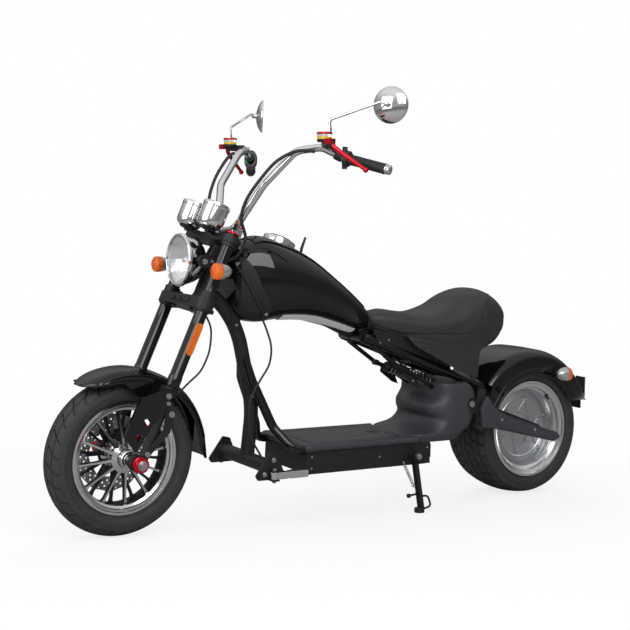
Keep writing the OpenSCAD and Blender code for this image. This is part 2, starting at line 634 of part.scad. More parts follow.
// Two rows of thin spokes, the right one half a pitch behind the left one
spoke_t = 7;
module front_rim() color("silver") parked() at_front_axle() {
  difference() {
    union() {
      wheel_turn() {
        h = front_rim_w / 2;
        r = front_rim_r;
        polygon([[r - 22, -h + 14], [r - 15.3, -h + 8], [r - 2, -h + 8], [r, -h + 6], [r, -h], [r - 5, -h],
          [r - 20, -h + 7], [r - 27, -h + 14], [r - 28, 0], [r - 27, h - 14], [r - 20, h - 7], [r - 5, h], [r, h],
          [r, h - 6], [r - 2, h - 8], [r - 15.3, h - 8], [r - 22, h - 14]]);
      }
      across(-front_hub_w / 2, front_hub_w / 2, 2 * front_hub_r);
      for (s = [-1, 1]) wheel_turn() polygon([[20, s * 19], [44, s * 22], [44, s * 38], [32, s * 50], [20, s * 50]]);
      for (side = [0, 1], i = [0:spoke_count - 1]) mirror([0, side, 0])
        rotate([0, 360 * (i + 0.25 + side / 2) / spoke_count, 0]) translate([0, 0, -spoke_t / 2]) linear_extrude(spoke_t)
          polygon([[front_hub_r - 4, 20], [front_hub_r - 4, 45], [40, 43], [58, 37], [100, 26], [front_rim_r - 25, 19],
            [front_rim_r - 25, 4], [100, 10], [58, 18]]);
    }
    across(-100, 100, axle_d + 2 * shaft_gap);
  }
}
caliper_a = 35;
module front_disc() color("#8d8f92") parked() at_front_axle() {
  difference() {
    translate([0, -front_disc_y - 4, 0]) across(0, 4, 2 * front_disc_r);
    translate([0, -front_disc_y - 10, 0]) across(0, 20, 2 * front_hub_r + 0.6);
  }
}

// Fork and clamps
module clamp_plate(t, r_mid, r_end) {
  difference() {
    linear_extrude(t) hull() {
      circle(r = r_mid, $fn = 32);
      translate([fork_offset, fork_half]) circle(r = r_end, $fn = 32);
      translate([fork_offset, -fork_half]) circle(r = r_end, $fn = 32);
    }
    for (s = [-1, 1]) translate([fork_offset, s * fork_half, -1]) cylinder(h = t + 2, d = fork_tube_d + 0.4);
  }
}
module triple_clamps() color("#141517") parked() steering() {
  translate([0, 0, lower_clamp_w]) clamp_plate(lower_clamp_t, 34, 30);
  translate([0, 0, upper_clamp_w]) clamp_plate(upper_clamp_t, 32, 29);
  translate([0, 0, lower_clamp_w + 5]) cylinder(h = upper_clamp_w - lower_clamp_w + 10, d = stem_d);
}
module fork_tubes() color("#101113") parked() steering() for (s = [-1, 1])
  translate([fork_offset, s * fork_half, -fork_tube_end]) {
    cylinder(h = fork_tube_end + fork_top, d = fork_tube_d);
    translate([0, 0, fork_tube_end + fork_top]) cylinder(h = 6, d = fork_tube_d - 4);
  }
module fork_legs() color("#1b1c1f") parked() steering() difference() {
  for (s = [-1, 1]) {
    translate([fork_offset, s * fork_half, axle_w - 6]) cylinder(h = -axle_w + 6 - fork_tube_end - seat_gap, d = fork_leg_d);
    translate([axle_u, s * fork_half, axle_w]) translate([0, -13, 0]) across(0, 26, 50);
  }
  translate([axle_u, 0, axle_w]) across(-200, 200, axle_d + 0.4);
}
// Fork plates outside the legs with their folded front edges, and the link arms behind them
fork_plate = [[40, -396], [66, -398], [138, -457], [144, -574], [85, -607], [66, -510], [42, -450]];
link_arm = [[14, -460], [32, -460], [38, -482], [28, -514], [58, -600], [44, -610], [5, -515], [12, -484]];
module fork_plates() color("#0a0a0c") parked() steering() both_sides()
  translate([0, fork_half + fork_leg_d / 2 + seat_gap, 0]) rotate([90, 0, 0]) mirror([0, 0, 1]) {
    difference() {
      union() {
        linear_extrude(5) polygon(fork_plate);
        linear_extrude(14) polygon([[131, -460], [137, -457], [144, -574], [138, -571]]);
      }
      for (p = [[89, -513], [93, -563]]) translate([p[0], p[1], -1]) cylinder(h = 7, d = 21);
      translate([fork_offset + 8, -420, -1]) cylinder(h = 7, d = 8);
    }
    linear_extrude(8) polygon(link_arm);
    translate([24, -466, 0]) cylinder(h = 14, d = 15);
  }
module front_axle() color("#c0141c") parked() at_front_axle() {
  across(-fork_half - 40, fork_half + 40, axle_d);
  both_sides() translate([0, fork_half + fork_leg_d / 2 + seat_gap, 0]) across(0, 28, 44);
}
// Caliper over the disc's rear edge, with a bracket out to the fork leg
module front_caliper() color("#b3161c") parked() at_front_axle() difference() {
  rotate([0, caliper_a, 0]) union() {
    translate([-front_disc_r - 15, -front_disc_y - 30, -25]) cube([54, 48, 50]);
    translate([-front_disc_r - 6, -fork_half + fork_leg_d / 2 + seat_gap, -12])
      cube([84, fork_half - fork_leg_d / 2 - seat_gap - front_disc_y - 28, 38]);
  }
  translate([0, -front_disc_y - 9.2, 0]) across(0, 14.4, 2 * front_disc_r + 12);
}
// Lower edge of the fender's sides, dipping to the fork plates
fender_skirt = [[98, 226], [31, 229], [-20, 184], [-84, 186], [-150, 190], [-178, 176], [-182, 184], [-110, 224], [0, 248]];
module front_fender() color("#08080a") parked() {
  at_front_axle() rotate([90, 0, 0]) rotate([0, 0, 58])
    rotate_extrude(angle = 124) arch_section(front_fender_r, front_fender_half, front_fender_r - 34, 4);
  both_sides() at_front_axle() translate([0, front_fender_half, 0]) rotate([90, 0, 0]) linear_extrude(4)
    polygon([for (p = fender_skirt) p * front_fender_r / 268]);
  both_sides() steering() translate([fork_offset - 14, front_fender_half - 3, -fork_tube_end - 24])
    cube([28, fork_half - fork_leg_d / 2 - seat_gap - front_fender_half + 3, 23.5]);
}

// Lamps, gauges and signals
// Middle of the lamp's face and of the gauges' row, in the steering axis's frame
headlight_at = [130, 0, -20];
module at_headlight() { parked() steering() translate(headlight_at) rotate([0, rake, 0]) children(); }
module headlight() color("silver") at_headlight() {
  rotate([0, 90, 0]) difference() {
    union() {
      translate([0, 0, -28]) cylinder(h = 28, d = headlight_d);
      translate([0, 0, -headlight_l + 18]) cylinder(h = headlight_l - 45, d1 = headlight_d - 50, d2 = headlight_d - 8);
      translate([0, 0, -headlight_l]) cylinder(h = 19, d1 = 52, d2 = headlight_d - 50);
    }
    translate([0, 0, -14]) cylinder(h = 20, d = headlight_d - 14);
  }
  both_sides() {
    translate([-44, 0, 0]) across(60, fork_half - fork_tube_d / 2 - seat_gap - 6, 20);
    translate([-98, fork_half - fork_tube_d / 2 - seat_gap - 6, -22]) cube([72, 6, 44]);
  }
}
module headlight_lens() color("#dfe6ea") at_headlight() rotate([0, 90, 0])
  translate([0, 0, -14 + seat_gap]) cylinder(h = 16, d = headlight_d - 15);
module front_signals() color("#f07a10") at_headlight() both_sides() translate([-20, 0, -24]) {
  bent_rod([[-61, fork_half + fork_tube_d / 2 + seat_gap, 0], [-61, signal_half - 24, 0], [-34, signal_half - 2, 0]], 12, 12, [0, 0, 1], 12);
  translate([-22, signal_half, 0]) bullet_signal();
}
gauge_at = [107, 0, upper_clamp_w + upper_clamp_t];
module gauges() color("silver") parked() steering() translate(gauge_at) {
  both_sides() translate([0, gauge_half, seat_gap]) {
    rotate_extrude() polygon([[0, 0], [gauge_d / 2 - 16, 0], [gauge_d / 2 - 7, 4], [gauge_d / 2 - 2, 11],
      [gauge_d / 2 - 1, 20], [gauge_d / 2 - 1, gauge_l - 14], [gauge_d / 2, gauge_l - 12], [gauge_d / 2, gauge_l - 1],
      [gauge_d / 2 - 4, gauge_l], [gauge_d / 2 - 6, gauge_l - 5], [0, gauge_l - 5]]);
  }
  translate([-gauge_at[0] + 14, -gauge_half, seat_gap]) cube([gauge_at[0] - 14, 2 * gauge_half, 4]);
}

// Handlebar: corner points from the clamp to the left grip's start, then the grip's end
bar_clamp = head + [-40, 50, 125];
bar_knee = head + [-92, 140, 275];
bar_shoulder = head + [-180, 182, 386];
bar_neck = head + [-240, 240, 400];
grip_start = head + [-290, 290, 368];
grip_end = head + [-362, bar_half_w, 336];
grip_dir = unit(grip_end - grip_start);
bar_dir = unit(grip_start - bar_neck);
pod_l = 17;
module handlebar() color("silver") parked() {
  bent_rod([mirror_y(grip_start), mirror_y(bar_neck), mirror_y(bar_shoulder), mirror_y(bar_knee),
    mirror_y(bar_clamp), bar_clamp, bar_knee, bar_shoulder, bar_neck, grip_start], bar_d, 60, [1, 0, 0], 14);
  both_sides() rod(grip_start, grip_end, bar_grip_d);
  both_sides() steering() translate([-4, 42, upper_clamp_w + upper_clamp_t + seat_gap]) cylinder(h = 30, d = 30);
}
module grips() color("#101011") parked() both_sides() difference() {
  rod(grip_start + grip_dir * (4 + pod_l + seat_gap), grip_end + grip_dir * 4, grip_d);
  rod(grip_start, grip_end + grip_dir * 0.5, bar_grip_d + 0.4);
}
master_at = head + [-209, 299, 416];
clamp_at = grip_start - bar_dir * 24;
clamp_l = 18;
clamp_mid = clamp_at + bar_dir * clamp_l / 2;
// Direction from the bar's middle out to the master cylinder
arm_dir = unit(cross(cross(bar_dir, master_at - clamp_mid), bar_dir));
module brake_controls() color("#c0141c") parked() both_sides() {
  difference() {
    union() {
      translate(master_at) {
        translate([-24, -34, -10]) cube([44, 64, 24]);
        translate([-18, -24, 14]) cube([36, 50, 14]);
      }
      rod(clamp_at, clamp_at + bar_dir * clamp_l, 40);
      rod(clamp_mid + arm_dir * 19, master_at, 14);
    }
    rod(clamp_at - bar_dir * 30, clamp_at + bar_dir * (clamp_l + 30), bar_d + 2 * seat_gap);
  }
  rod(master_at + [-14, 26, -2], grip_end + [62, -40, -6], 10);
}
module switch_pods() color("#2a2b2e") parked() both_sides() difference() {
  rod(grip_start + grip_dir * 4, grip_start + grip_dir * (4 + pod_l), 46);
  rod(grip_start - grip_dir * 10, grip_start + grip_dir * 40, bar_grip_d + 2 * seat_gap);
}
mirror_at = [head_x - 387, mirror_half, mirror_z];
mirror_foot = master_at + [-8, 16, 28 + seat_gap];
mirror_yaw = 30;
module mirrors() color("silver") parked() both_sides() {
  translate(mirror_at) rotate([0, 0, mirror_yaw]) rotate([0, 90, 0]) {
    cylinder(h = 10, d = mirror_d);
    translate([0, 0, 10]) cylinder(h = 8, d1 = mirror_d - 10, d2 = 60);
  }
  translate(mirror_foot) cylinder(h = 12, d = 14);
  bent_rod([mirror_foot + [0, 0, 2], mirror_foot + [0, 0, 34], mirror_at + [40, 4, 6], mirror_at + [14, 8, 0]], 8, 16, [0, 1, 0.3], 8);
}
// Looms from the bar's clusters down behind the lamp
// Points above the clamps are from the head point, those below in the steering axis's frame
loom_bar_pts = [[-206, 252, 384], [-168, 208, 384], [-120, 172, 352], [-74, 150, 292], [-42, 124, 226], [-36, 106, 166]];
loom_lamp_pts = [[-14, 100, 118], [-12, 98, 62], [4, 78, 34], [26, 44, 20], [43.6, 20, 14]];
function on_steering(p) = head + [p[0] * cos(rake) - p[2] * sin(rake), p[1], p[0] * sin(rake) + p[2] * cos(rake)];
module cable_looms() color("#0c0c0d") parked() both_sides() cord(smooth_rows(concat([for (p = loom_bar_pts) head + p], [for (p = loom_lamp_pts) on_steering(p)]), 3), 11);

// Route of the front brake hose in the steering axis's frame, from the lower clamp to the left leg
front_hose_pts = [[10, 80, lower_clamp_w - 3.1], [-28, 80, -180], [-50, 80, -236], [-52, 82, -280], [-44, 86, -317], [-20, 94, -355],
  [4, 104, -392], [30.3, 114.5, -424]];
module front_hose() color("#0c0c0d") parked() cord([for (p = smooth_rows(front_hose_pts, 3)) on_steering(p)], 6);

head_tube();
frame();
deck_loops();
seat_rails();
deck();
battery_box();
rear_cover();
tank();
tank_lid();
tank_side_panels();
tank_strip();
seat();
swingarm();
arm_covers();
rear_axle();
rear_shocks();
rear_fender();
plate_holder();
rear_lamps();
rear_caliper();
rear_hose();
stand_leg();
stand_spring();
peg_left();
peg_right();
rear_tyre();
rear_rim();
motor_hub();
front_tyre();
front_rim();
front_disc();
triple_clamps();
fork_tubes();
fork_legs();
fork_plates();
front_axle();
front_caliper();
front_fender();
headlight();
headlight_lens();
front_signals();
gauges();
handlebar();
grips();
brake_controls();
switch_pods();
mirrors();
cable_looms();
front_hose();
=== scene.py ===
import bpy
import bmesh
from math import acos, atan2, ceil, copysign, cos, degrees, hypot, pi, radians, sin, sqrt, tan
from mathutils import Matrix, Vector


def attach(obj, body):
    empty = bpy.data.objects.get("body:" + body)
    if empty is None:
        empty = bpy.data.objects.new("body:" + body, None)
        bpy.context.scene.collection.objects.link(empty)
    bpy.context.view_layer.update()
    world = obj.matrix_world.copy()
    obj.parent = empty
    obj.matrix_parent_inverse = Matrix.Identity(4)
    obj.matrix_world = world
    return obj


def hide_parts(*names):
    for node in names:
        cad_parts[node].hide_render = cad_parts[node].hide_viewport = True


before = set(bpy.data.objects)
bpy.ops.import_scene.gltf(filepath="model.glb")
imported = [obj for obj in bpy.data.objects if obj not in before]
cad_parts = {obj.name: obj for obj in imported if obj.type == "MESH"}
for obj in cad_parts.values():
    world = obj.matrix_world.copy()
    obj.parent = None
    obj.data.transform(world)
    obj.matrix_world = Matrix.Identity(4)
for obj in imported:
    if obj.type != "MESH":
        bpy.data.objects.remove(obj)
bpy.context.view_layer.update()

# Camera
# The scooter is seen from its left front, from below the height of the grips.
# The lens is a short telephoto, raised by its shift and not by its tilt.
camera_at = Vector((2.4497, 3.4682, 0.7392))
camera_target = Vector((0.1292, -0.0933, 1.2339))
camera = bpy.data.objects.new("camera", bpy.data.cameras.new("camera"))
bpy.context.scene.collection.objects.link(camera)
camera.location = camera_at
camera.rotation_euler = (camera_target - camera_at).to_track_quat("-Z", "Y").to_euler()
camera.data.sensor_width = 36
camera.data.lens = 70.97
camera.data.shift_y = -0.2716
bpy.context.scene.camera = camera
bpy.context.scene.view_settings.view_transform = "Standard"


# Shader maths
# A socket takes part in sums and products, and each adds its own node.
# A finish is a material whose nodes are added by one method.
class Sock:
    def __init__(self, tree, socket):
        self.tree = tree
        self.socket = socket

    def math(self, operation, *others):
        node = self.tree.nodes.new("ShaderNodeMath")
        node.operation = operation
        for slot, value in zip(node.inputs, others):
            join(self.tree, slot, value)
        return Sock(self.tree, node.outputs[0])

    def __add__(self, other):
        return self.math("ADD", self, other)

    __radd__ = __add__

    def __sub__(self, other):
        return self.math("SUBTRACT", self, other)

    def __rsub__(self, other):
        return self.math("SUBTRACT", other, self)

    def __mul__(self, other):
        return self.math("MULTIPLY", self, other)

    __rmul__ = __mul__

    def __pow__(self, other):
        return self.math("POWER", self, other)

    def sin(self):
        return self.math("SINE", self)

    def between(self, low, high):
        """0 below low, 1 above high, and a smooth step between them."""
        node = self.tree.nodes.new("ShaderNodeMapRange")
        node.interpolation_type = "SMOOTHSTEP"
        join(self.tree, node.inputs["Value"], self)
        node.inputs["From Min"].default_value = low
        node.inputs["From Max"].default_value = high
        return Sock(self.tree, node.outputs["Result"])


def join(tree, slot, value):
    if isinstance(value, Sock):
        tree.links.new(value.socket, slot)
    else:
        slot.default_value = value


class Finish:
    def __init__(self, name, colour, slot=None, **fixed):
        self.slot = slot
        self.material = bpy.data.materials.new(name)
        self.material.use_nodes = True
        self.tree = self.material.node_tree
        self.shader = self.tree.nodes["Principled BSDF"]
        self.place = self.tree.nodes.new("ShaderNodeTexCoord").outputs["Object"]
        self.feed(Base_Color=(*colour, 1), **fixed)

    def node(self, kind, out, settings=(), **inputs):
        """Adds a node, sets its settings first and then its sockets, and gives the output named out."""
        node = self.tree.nodes.new("ShaderNode" + kind)
        for key, value in dict(settings).items():
            setattr(node, key, value)
        for key, value in inputs.items():
            join(self.tree, node.inputs[key.replace("_", " ")], value)
        return Sock(self.tree, node.outputs[out])

    def object_place(self, scale=(1, 1, 1)):
        return self.node("Mapping", "Vector", Vector=Sock(self.tree, self.place), Scale=scale)

    def axes(self):
        node = self.tree.nodes.new("ShaderNodeSeparateXYZ")
        self.tree.links.new(self.place, node.inputs[0])
        return [Sock(self.tree, out) for out in node.outputs]

    def noise(self, scale, detail=2.0, roughness=0.5, stretch=(1, 1, 1)):
        return self.node("TexNoise", "Fac", Vector=self.object_place(stretch),
                         Scale=scale, Detail=detail, Roughness=roughness)

    def cells(self, scale, feature="F1", out="Distance"):
        return self.node("TexVoronoi", out, {"feature": feature}, Vector=self.object_place(), Scale=scale)

    def blend(self, factor, a, b):
        """Colour a where the factor is 0 and b where it is 1."""
        node = self.tree.nodes.new("ShaderNodeMix")
        node.data_type = "RGBA"
        join(self.tree, node.inputs[0], factor)
        for slot, value in ((6, a), (7, b)):
            join(self.tree, node.inputs[slot], value if isinstance(value, Sock) else (*value, 1))
        return Sock(self.tree, node.outputs[2])

    def feed(self, **sockets):
        for key, value in sockets.items():
            join(self.tree, self.shader.inputs[key.replace("_", " ")], value)
        return self

    def bump(self, height, distance, strength=1.0):
        return self.feed(Normal=self.node("Bump", "Normal", Height=height, Distance=distance,
                                          Strength=strength))


# Floor and light
# A pale floor runs under the scooter, and a white surrounding shows in the polished parts.
# Two large soft lamps stand to the left and in front, and one behind.
floor_half = 12
pale = (0.93, 0.93, 0.93)
bm = bmesh.new()
bmesh.ops.create_grid(bm, x_segments=1, y_segments=1, size=floor_half)
floor_mesh = bpy.data.meshes.new("floor")
bm.to_mesh(floor_mesh)
floor = bpy.data.objects.new("floor", floor_mesh)
bpy.context.scene.collection.objects.link(floor)
floor_finish = Finish("floor_paper", pale, Roughness=0.9, Specular_IOR_Level=0.1)
tree = floor_finish.tree
ray = tree.nodes.new("ShaderNodeLightPath")
glow = tree.nodes.new("ShaderNodeEmission")
mixer = tree.nodes.new("ShaderNodeMixShader")
glow.inputs["Strength"].default_value = 1.0
seen = Sock(tree, ray.outputs["Is Camera Ray"])
mirrored = Sock(tree, ray.outputs["Is Glossy Ray"])
x, y, z = floor_finish.axes()
far_off = ((x * x + y * y) ** 0.5).between(0.9, 3.6)
tree.links.new((seen * (0.8 + 0.2 * far_off)).socket, mixer.inputs[0])
tree.links.new(floor_finish.shader.outputs[0], mixer.inputs[1])
tree.links.new(glow.outputs[0], mixer.inputs[2])
floor_finish.feed(Base_Color=floor_finish.blend(mirrored, pale, (0.3, 0.3, 0.3)))
tree.links.new(mixer.outputs[0], tree.nodes["Material Output"].inputs["Surface"])
floor_mesh.materials.append(floor_finish.material)

world = bpy.data.worlds.new("studio")
bpy.context.scene.world = world
world.use_nodes = True
tree = world.node_tree
ray = tree.nodes.new("ShaderNodeLightPath")
seen = Sock(tree, ray.outputs["Is Camera Ray"])
mirrored = Sock(tree, ray.outputs["Is Glossy Ray"])
through = Sock(tree, ray.outputs["Is Transmission Ray"])
heading = tree.nodes.new("ShaderNodeTexCoord")
parts = tree.nodes.new("ShaderNodeSeparateXYZ")
tree.links.new(heading.outputs["Generated"], parts.inputs[0])
height = Sock(tree, parts.outputs[2])
side = Sock(tree, parts.outputs[0])
near_side = Sock(tree, parts.outputs[1]).between(0.0, 0.9)
ceiling = height.between(0.15, 0.8)
wall = side.between(-0.2, 0.9)
reflected = 0.1 + 0.55 * ceiling + 0.2 * wall + 0.12 * near_side
strength = 0.5 + seen * 0.5 + mirrored * (reflected - 0.5) + through * 0.4
background = tree.nodes["Background"]
tree.links.new(strength.socket, background.inputs["Strength"])
background.inputs["Color"].default_value = (1, 1, 1, 1)

for lamp_name, place, aim, size, power in (
        ("key", (1.6, 3.4, 3.0), (0, 0, 0.7), 2.8, 95),
        ("front", (3.6, 0.4, 1.9), (0.3, 0, 0.6), 2.6, 50),
        ("back", (-2.6, -2.2, 2.8), (-0.2, 0, 0.6), 2.0, 60)):
    lamp = bpy.data.objects.new(lamp_name, bpy.data.lights.new(lamp_name, "AREA"))
    bpy.context.scene.collection.objects.link(lamp)
    lamp.location = place
    lamp.rotation_euler = (Vector(aim) - Vector(place)).to_track_quat("-Z", "Y").to_euler()
    lamp.data.size = size
    lamp.data.energy = power
    lamp.visible_glossy = lamp_name != "back"

# Finishes
# Paint, powder coat, moulded plastic, chrome, bare and anodised metal, rubber and leather.
gloss = Finish("gloss_black_paint", (0.004, 0.004, 0.005), "gloss_black", Roughness=0.22,
               Specular_IOR_Level=0.0, Coat_Weight=1.0,
               Coat_Roughness=0.03)
gloss.bump(gloss.noise(900, 2), 0.00006, 0.35)
gloss.feed(Roughness=0.2 + 0.1 * gloss.noise(14, 4, 0.6))

satin = Finish("satin_black_powder", (0.012, 0.012, 0.014), "satin_black", Roughness=0.5,
               Specular_IOR_Level=0.35)
satin.bump(satin.noise(1400, 2), 0.00012, 0.5)
satin.feed(Roughness=0.38 + 0.2 * satin.noise(30, 4, 0.6),
           Base_Color=satin.blend(satin.noise(60, 3), (0.009, 0.009, 0.011), (0.015, 0.015, 0.017)))

moulded = Finish("grey_moulded_plastic", (0.045, 0.046, 0.052), "grey_plastic", Roughness=0.5)
moulded.bump(moulded.cells(1500), 0.00012, 0.5)
moulded.feed(Roughness=0.4 + 0.2 * moulded.noise(20, 5, 0.6),
             Base_Color=moulded.blend(moulded.noise(34, 5), (0.026, 0.027, 0.033), (0.038, 0.039, 0.046)))

plastic = Finish("black_plastic", (0.014, 0.014, 0.015), "black_plastic", Roughness=0.45)
plastic.bump(plastic.cells(1800), 0.0001, 0.4)
plastic.feed(Roughness=0.36 + 0.2 * plastic.noise(40, 3))

chrome = Finish("chrome_plate", (0.82, 0.83, 0.85), "chrome", Metallic=1.0, Roughness=0.05)
chrome.feed(Roughness=0.03 + 0.08 * chrome.noise(18, 5, 0.65))

steel = Finish("bright_steel", (0.55, 0.55, 0.56), "steel", Metallic=1.0, Roughness=0.3)
steel.feed(Roughness=0.22 + 0.2 * steel.noise(90, 4, 0.6),
           Base_Color=steel.blend(steel.noise(120, 3), (0.42, 0.42, 0.43), (0.62, 0.62, 0.63)))

cast = Finish("cast_aluminium", (0.6, 0.61, 0.63), "aluminium", Metallic=1.0, Roughness=0.35)
cast.bump(cast.noise(700, 3), 0.0002, 0.4)
cast.feed(Roughness=0.3 + 0.16 * cast.noise(40, 4))

red = Finish("red_anodised", (0.62, 0.012, 0.022), "red_anodised", Metallic=0.75, Roughness=0.22)
red.feed(Roughness=0.16 + 0.14 * red.noise(60, 4))

rubber = Finish("black_rubber", (0.012, 0.012, 0.012), "rubber", Roughness=0.6)
rubber.bump(rubber.noise(1600, 2), 0.00015, 0.5)
rubber.feed(Roughness=0.5 + 0.2 * rubber.noise(50, 3))

tyre = Finish("tyre_rubber", (0.018, 0.018, 0.018), "tyre", Roughness=0.7)
tyre.bump(tyre.noise(900, 3), 0.0003, 0.5)
tyre.feed(Roughness=0.6 + 0.2 * tyre.noise(30, 4),
          Base_Color=tyre.blend(tyre.noise(24, 5, 0.6), (0.014, 0.014, 0.014), (0.034, 0.033, 0.032)))

leather = Finish("seat_leather", (0.03, 0.029, 0.03), "leather", Roughness=0.45)
grain = leather.cells(620, "F1") * 0.7 + 0.3 * leather.noise(260, 4, 0.6)
leather.bump(grain, 0.0005, 0.55)
leather.feed(Roughness=0.36 + 0.16 * leather.noise(9, 4) + 0.12 * grain,
             Base_Color=leather.blend(leather.noise(12, 4), (0.014, 0.013, 0.014), (0.026, 0.023, 0.022)))

silver = Finish("silver_paint", (0.5, 0.51, 0.53), "chrome", Metallic=0.8, Roughness=0.28, Coat_Weight=1.0,
                Coat_Roughness=0.05)
silver.feed(Roughness=0.24 + 0.1 * silver.noise(60, 3))

trim = Finish("brushed_trim", (0.6, 0.61, 0.63), "aluminium", Metallic=0.25, Roughness=0.35)
trim.feed(Roughness=0.28 + 0.16 * trim.noise(80, 3))

amber = Finish("amber_lens", (0.9, 0.2, 0.01), "lamp_orange", Roughness=0.12, Transmission_Weight=0.35,
               IOR=1.5)
amber.feed(Base_Color=amber.blend(amber.noise(40, 2), (0.95, 0.22, 0.012), (0.8, 0.13, 0.008)))
_, y, z = amber.axes()
amber.bump((y * 2600).sin() * 0.5 + (z * 2600).sin() * 0.5, 0.0004, 0.5)

glass = Finish("clear_lens", (0.96, 0.97, 0.98), "lens", Roughness=0.02, Transmission_Weight=0.92, IOR=1.45)
glass.feed(Roughness=0.01 + 0.03 * glass.noise(30, 2))

# Place of the scooter
# Its own upright frame has X forward, Y to the rider's left and Z up, in millimetres from below the
# rear axle.
# It leans onto its side stand, and the steered parts have a frame along the steering axis.
wheelbase = 1578
rear_axle_z = 239.3055
front_axle_z = 236.5
head = Vector((1285, 0, 800))
rake = radians(22)
lean = radians(4)
both = (-1, 1)
ahead, back, up_axis = (1, 0, 0), (-1, 0, 0), (0, 0, 1)
upright = (Matrix.Translation((-0.73125, -0.0932644, 0)) @ Matrix.Rotation(-lean, 4, "X")
           @ Matrix.Scale(0.001, 4))
steered = upright @ Matrix.Translation(head) @ Matrix.Rotation(-rake, 4, "Y")
rear_wheel = upright @ Matrix.Translation((0, 0, rear_axle_z))
front_wheel = upright @ Matrix.Translation((wheelbase, 0, front_axle_z))


def part(name, bm, at, finish, body, *replaced, slot=None, sharp=35, bevel=0.0):
    """Makes a finished piece of a bmesh that is in millimetres in the frame at."""
    mesh = bpy.data.meshes.new(name)
    bm.to_mesh(mesh)
    bm.free()
    mesh.transform(at)
    finishes = finish if isinstance(finish, list) else [finish]
    for one in finishes:
        mesh.materials.append(one.material)
    mesh.shade_smooth()
    mesh.set_sharp_from_angle(angle=radians(sharp))
    piece = bpy.data.objects.new(name, mesh)
    bpy.context.scene.collection.objects.link(piece)
    if bevel:
        edge = piece.modifiers.new("edges", "BEVEL")
        edge.width = bevel
        edge.segments = 2
        edge.angle_limit = radians(40)
        edge.harden_normals = True
    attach(piece, body)
    if replaced:
        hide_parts(*replaced)
    return piece


def lathe(bm, profile, steps=96, closed=True):
    """Spins points of (radius, y) about the Y axis."""
    verts = [bm.verts.new((r, y, 0)) for r, y in profile]
    edges = [bm.edges.new(pair) for pair in zip(verts, verts[1:] + ([verts[0]] if closed else []))]
    bmesh.ops.spin(bm, geom=verts + edges, cent=(0, 0, 0), axis=(0, 1, 0), angle=2 * pi, steps=steps,
                   use_merge=True)
    bmesh.ops.recalc_face_normals(bm, faces=bm.faces)


def drum(bm, a, b, d1, d2=None, sides=48):
    """A round bar or cone from a to b."""
    a, b = Vector(a), Vector(b)
    turn = (b - a).to_track_quat("Z", "Y").to_matrix().to_4x4()
    return bmesh.ops.create_cone(bm, cap_ends=True, segments=sides, radius1=d1 / 2,
                                 radius2=(d1 if d2 is None else d2) / 2,
                                 depth=(b - a).length, matrix=Matrix.Translation((a + b) / 2) @ turn)["verts"]


def box(bm, low, high):
    low, high = Vector(low), Vector(high)
    return bmesh.ops.create_cube(bm, size=1, matrix=Matrix.Translation((low + high) / 2)
                                 @ Matrix.Diagonal((*(high - low), 1)))["verts"]


def bolt(bm, at, direction, d, h, hexagon=True):
    """A bolt's head with a round flange, or a cap screw with its socket."""
    at, direction = Vector(at), Vector(direction).normalized()
    if hexagon:
        drum(bm, at, at + direction * h * 0.3, d * 1.25, sides=20)
        drum(bm, at + direction * h * 0.3, at + direction * h, d, sides=6)
        return
    verts = drum(bm, at, at + direction * h, d, sides=20)
    top = max({f for v in verts for f in v.link_faces}, key=lambda f: f.calc_center_median().dot(direction))
    bmesh.ops.inset_region(bm, faces=[top], thickness=d * 0.24)
    bmesh.ops.inset_region(bm, faces=[top], thickness=0.01, depth=-h * 0.6)


def side_bolts(bm, rows, hexagon=False):
    """The same bolts on both sides: rows of x, y, z, width and height."""
    for s in both:
        for x, y, z, d, h in rows:
            bolt(bm, (x, s * y, z), (0, s, 0), d, h, hexagon)


def tread(bm, rows, pitches, crown):
    """Raised blocks on a tyre, whose crown gives the radius at y."""
    # columns of rows: y from, y to, part of the pitch, start, skew, wave
    height, across, along = 7.5, 4, 3
    for y0, y1, share, start, skew, wave in rows:
        for n in range(pitches):
            grid = []
            for i in range(across + 1):
                t = i / across
                y = y0 + (y1 - y0) * t
                shift = n + start + skew * t + wave * sin(pi * t)
                turns = [2 * pi / pitches * (shift + share * k / along) for k in range(along + 1)]
                grid.append([bm.verts.new((crown(y) * cos(a), y, crown(y) * sin(a))) for a in turns])
            faces = [bm.faces.new((grid[i][k], grid[i + 1][k], grid[i + 1][k + 1], grid[i][k + 1]))
                     for i in range(across) for k in range(along)]
            made = bmesh.ops.extrude_face_region(bm, geom=faces, use_keep_orig=True)
            for v in [v for v in made["geom"] if isinstance(v, bmesh.types.BMVert)]:
                depth = height / hypot(v.co.x, v.co.z)
                v.co = (v.co.x * (1 - depth), v.co.y * 0.99, v.co.z * (1 - depth))
    bmesh.ops.remove_doubles(bm, verts=bm.verts, dist=0.05)


def crown_line(r, crown, edge, fall):
    """The radius of a tyre's crown as a function of y, with shoulders that fall away past the edge."""
    return lambda y: r - crown + sqrt(crown ** 2 - y * y) - fall * max(0, abs(y) - edge)


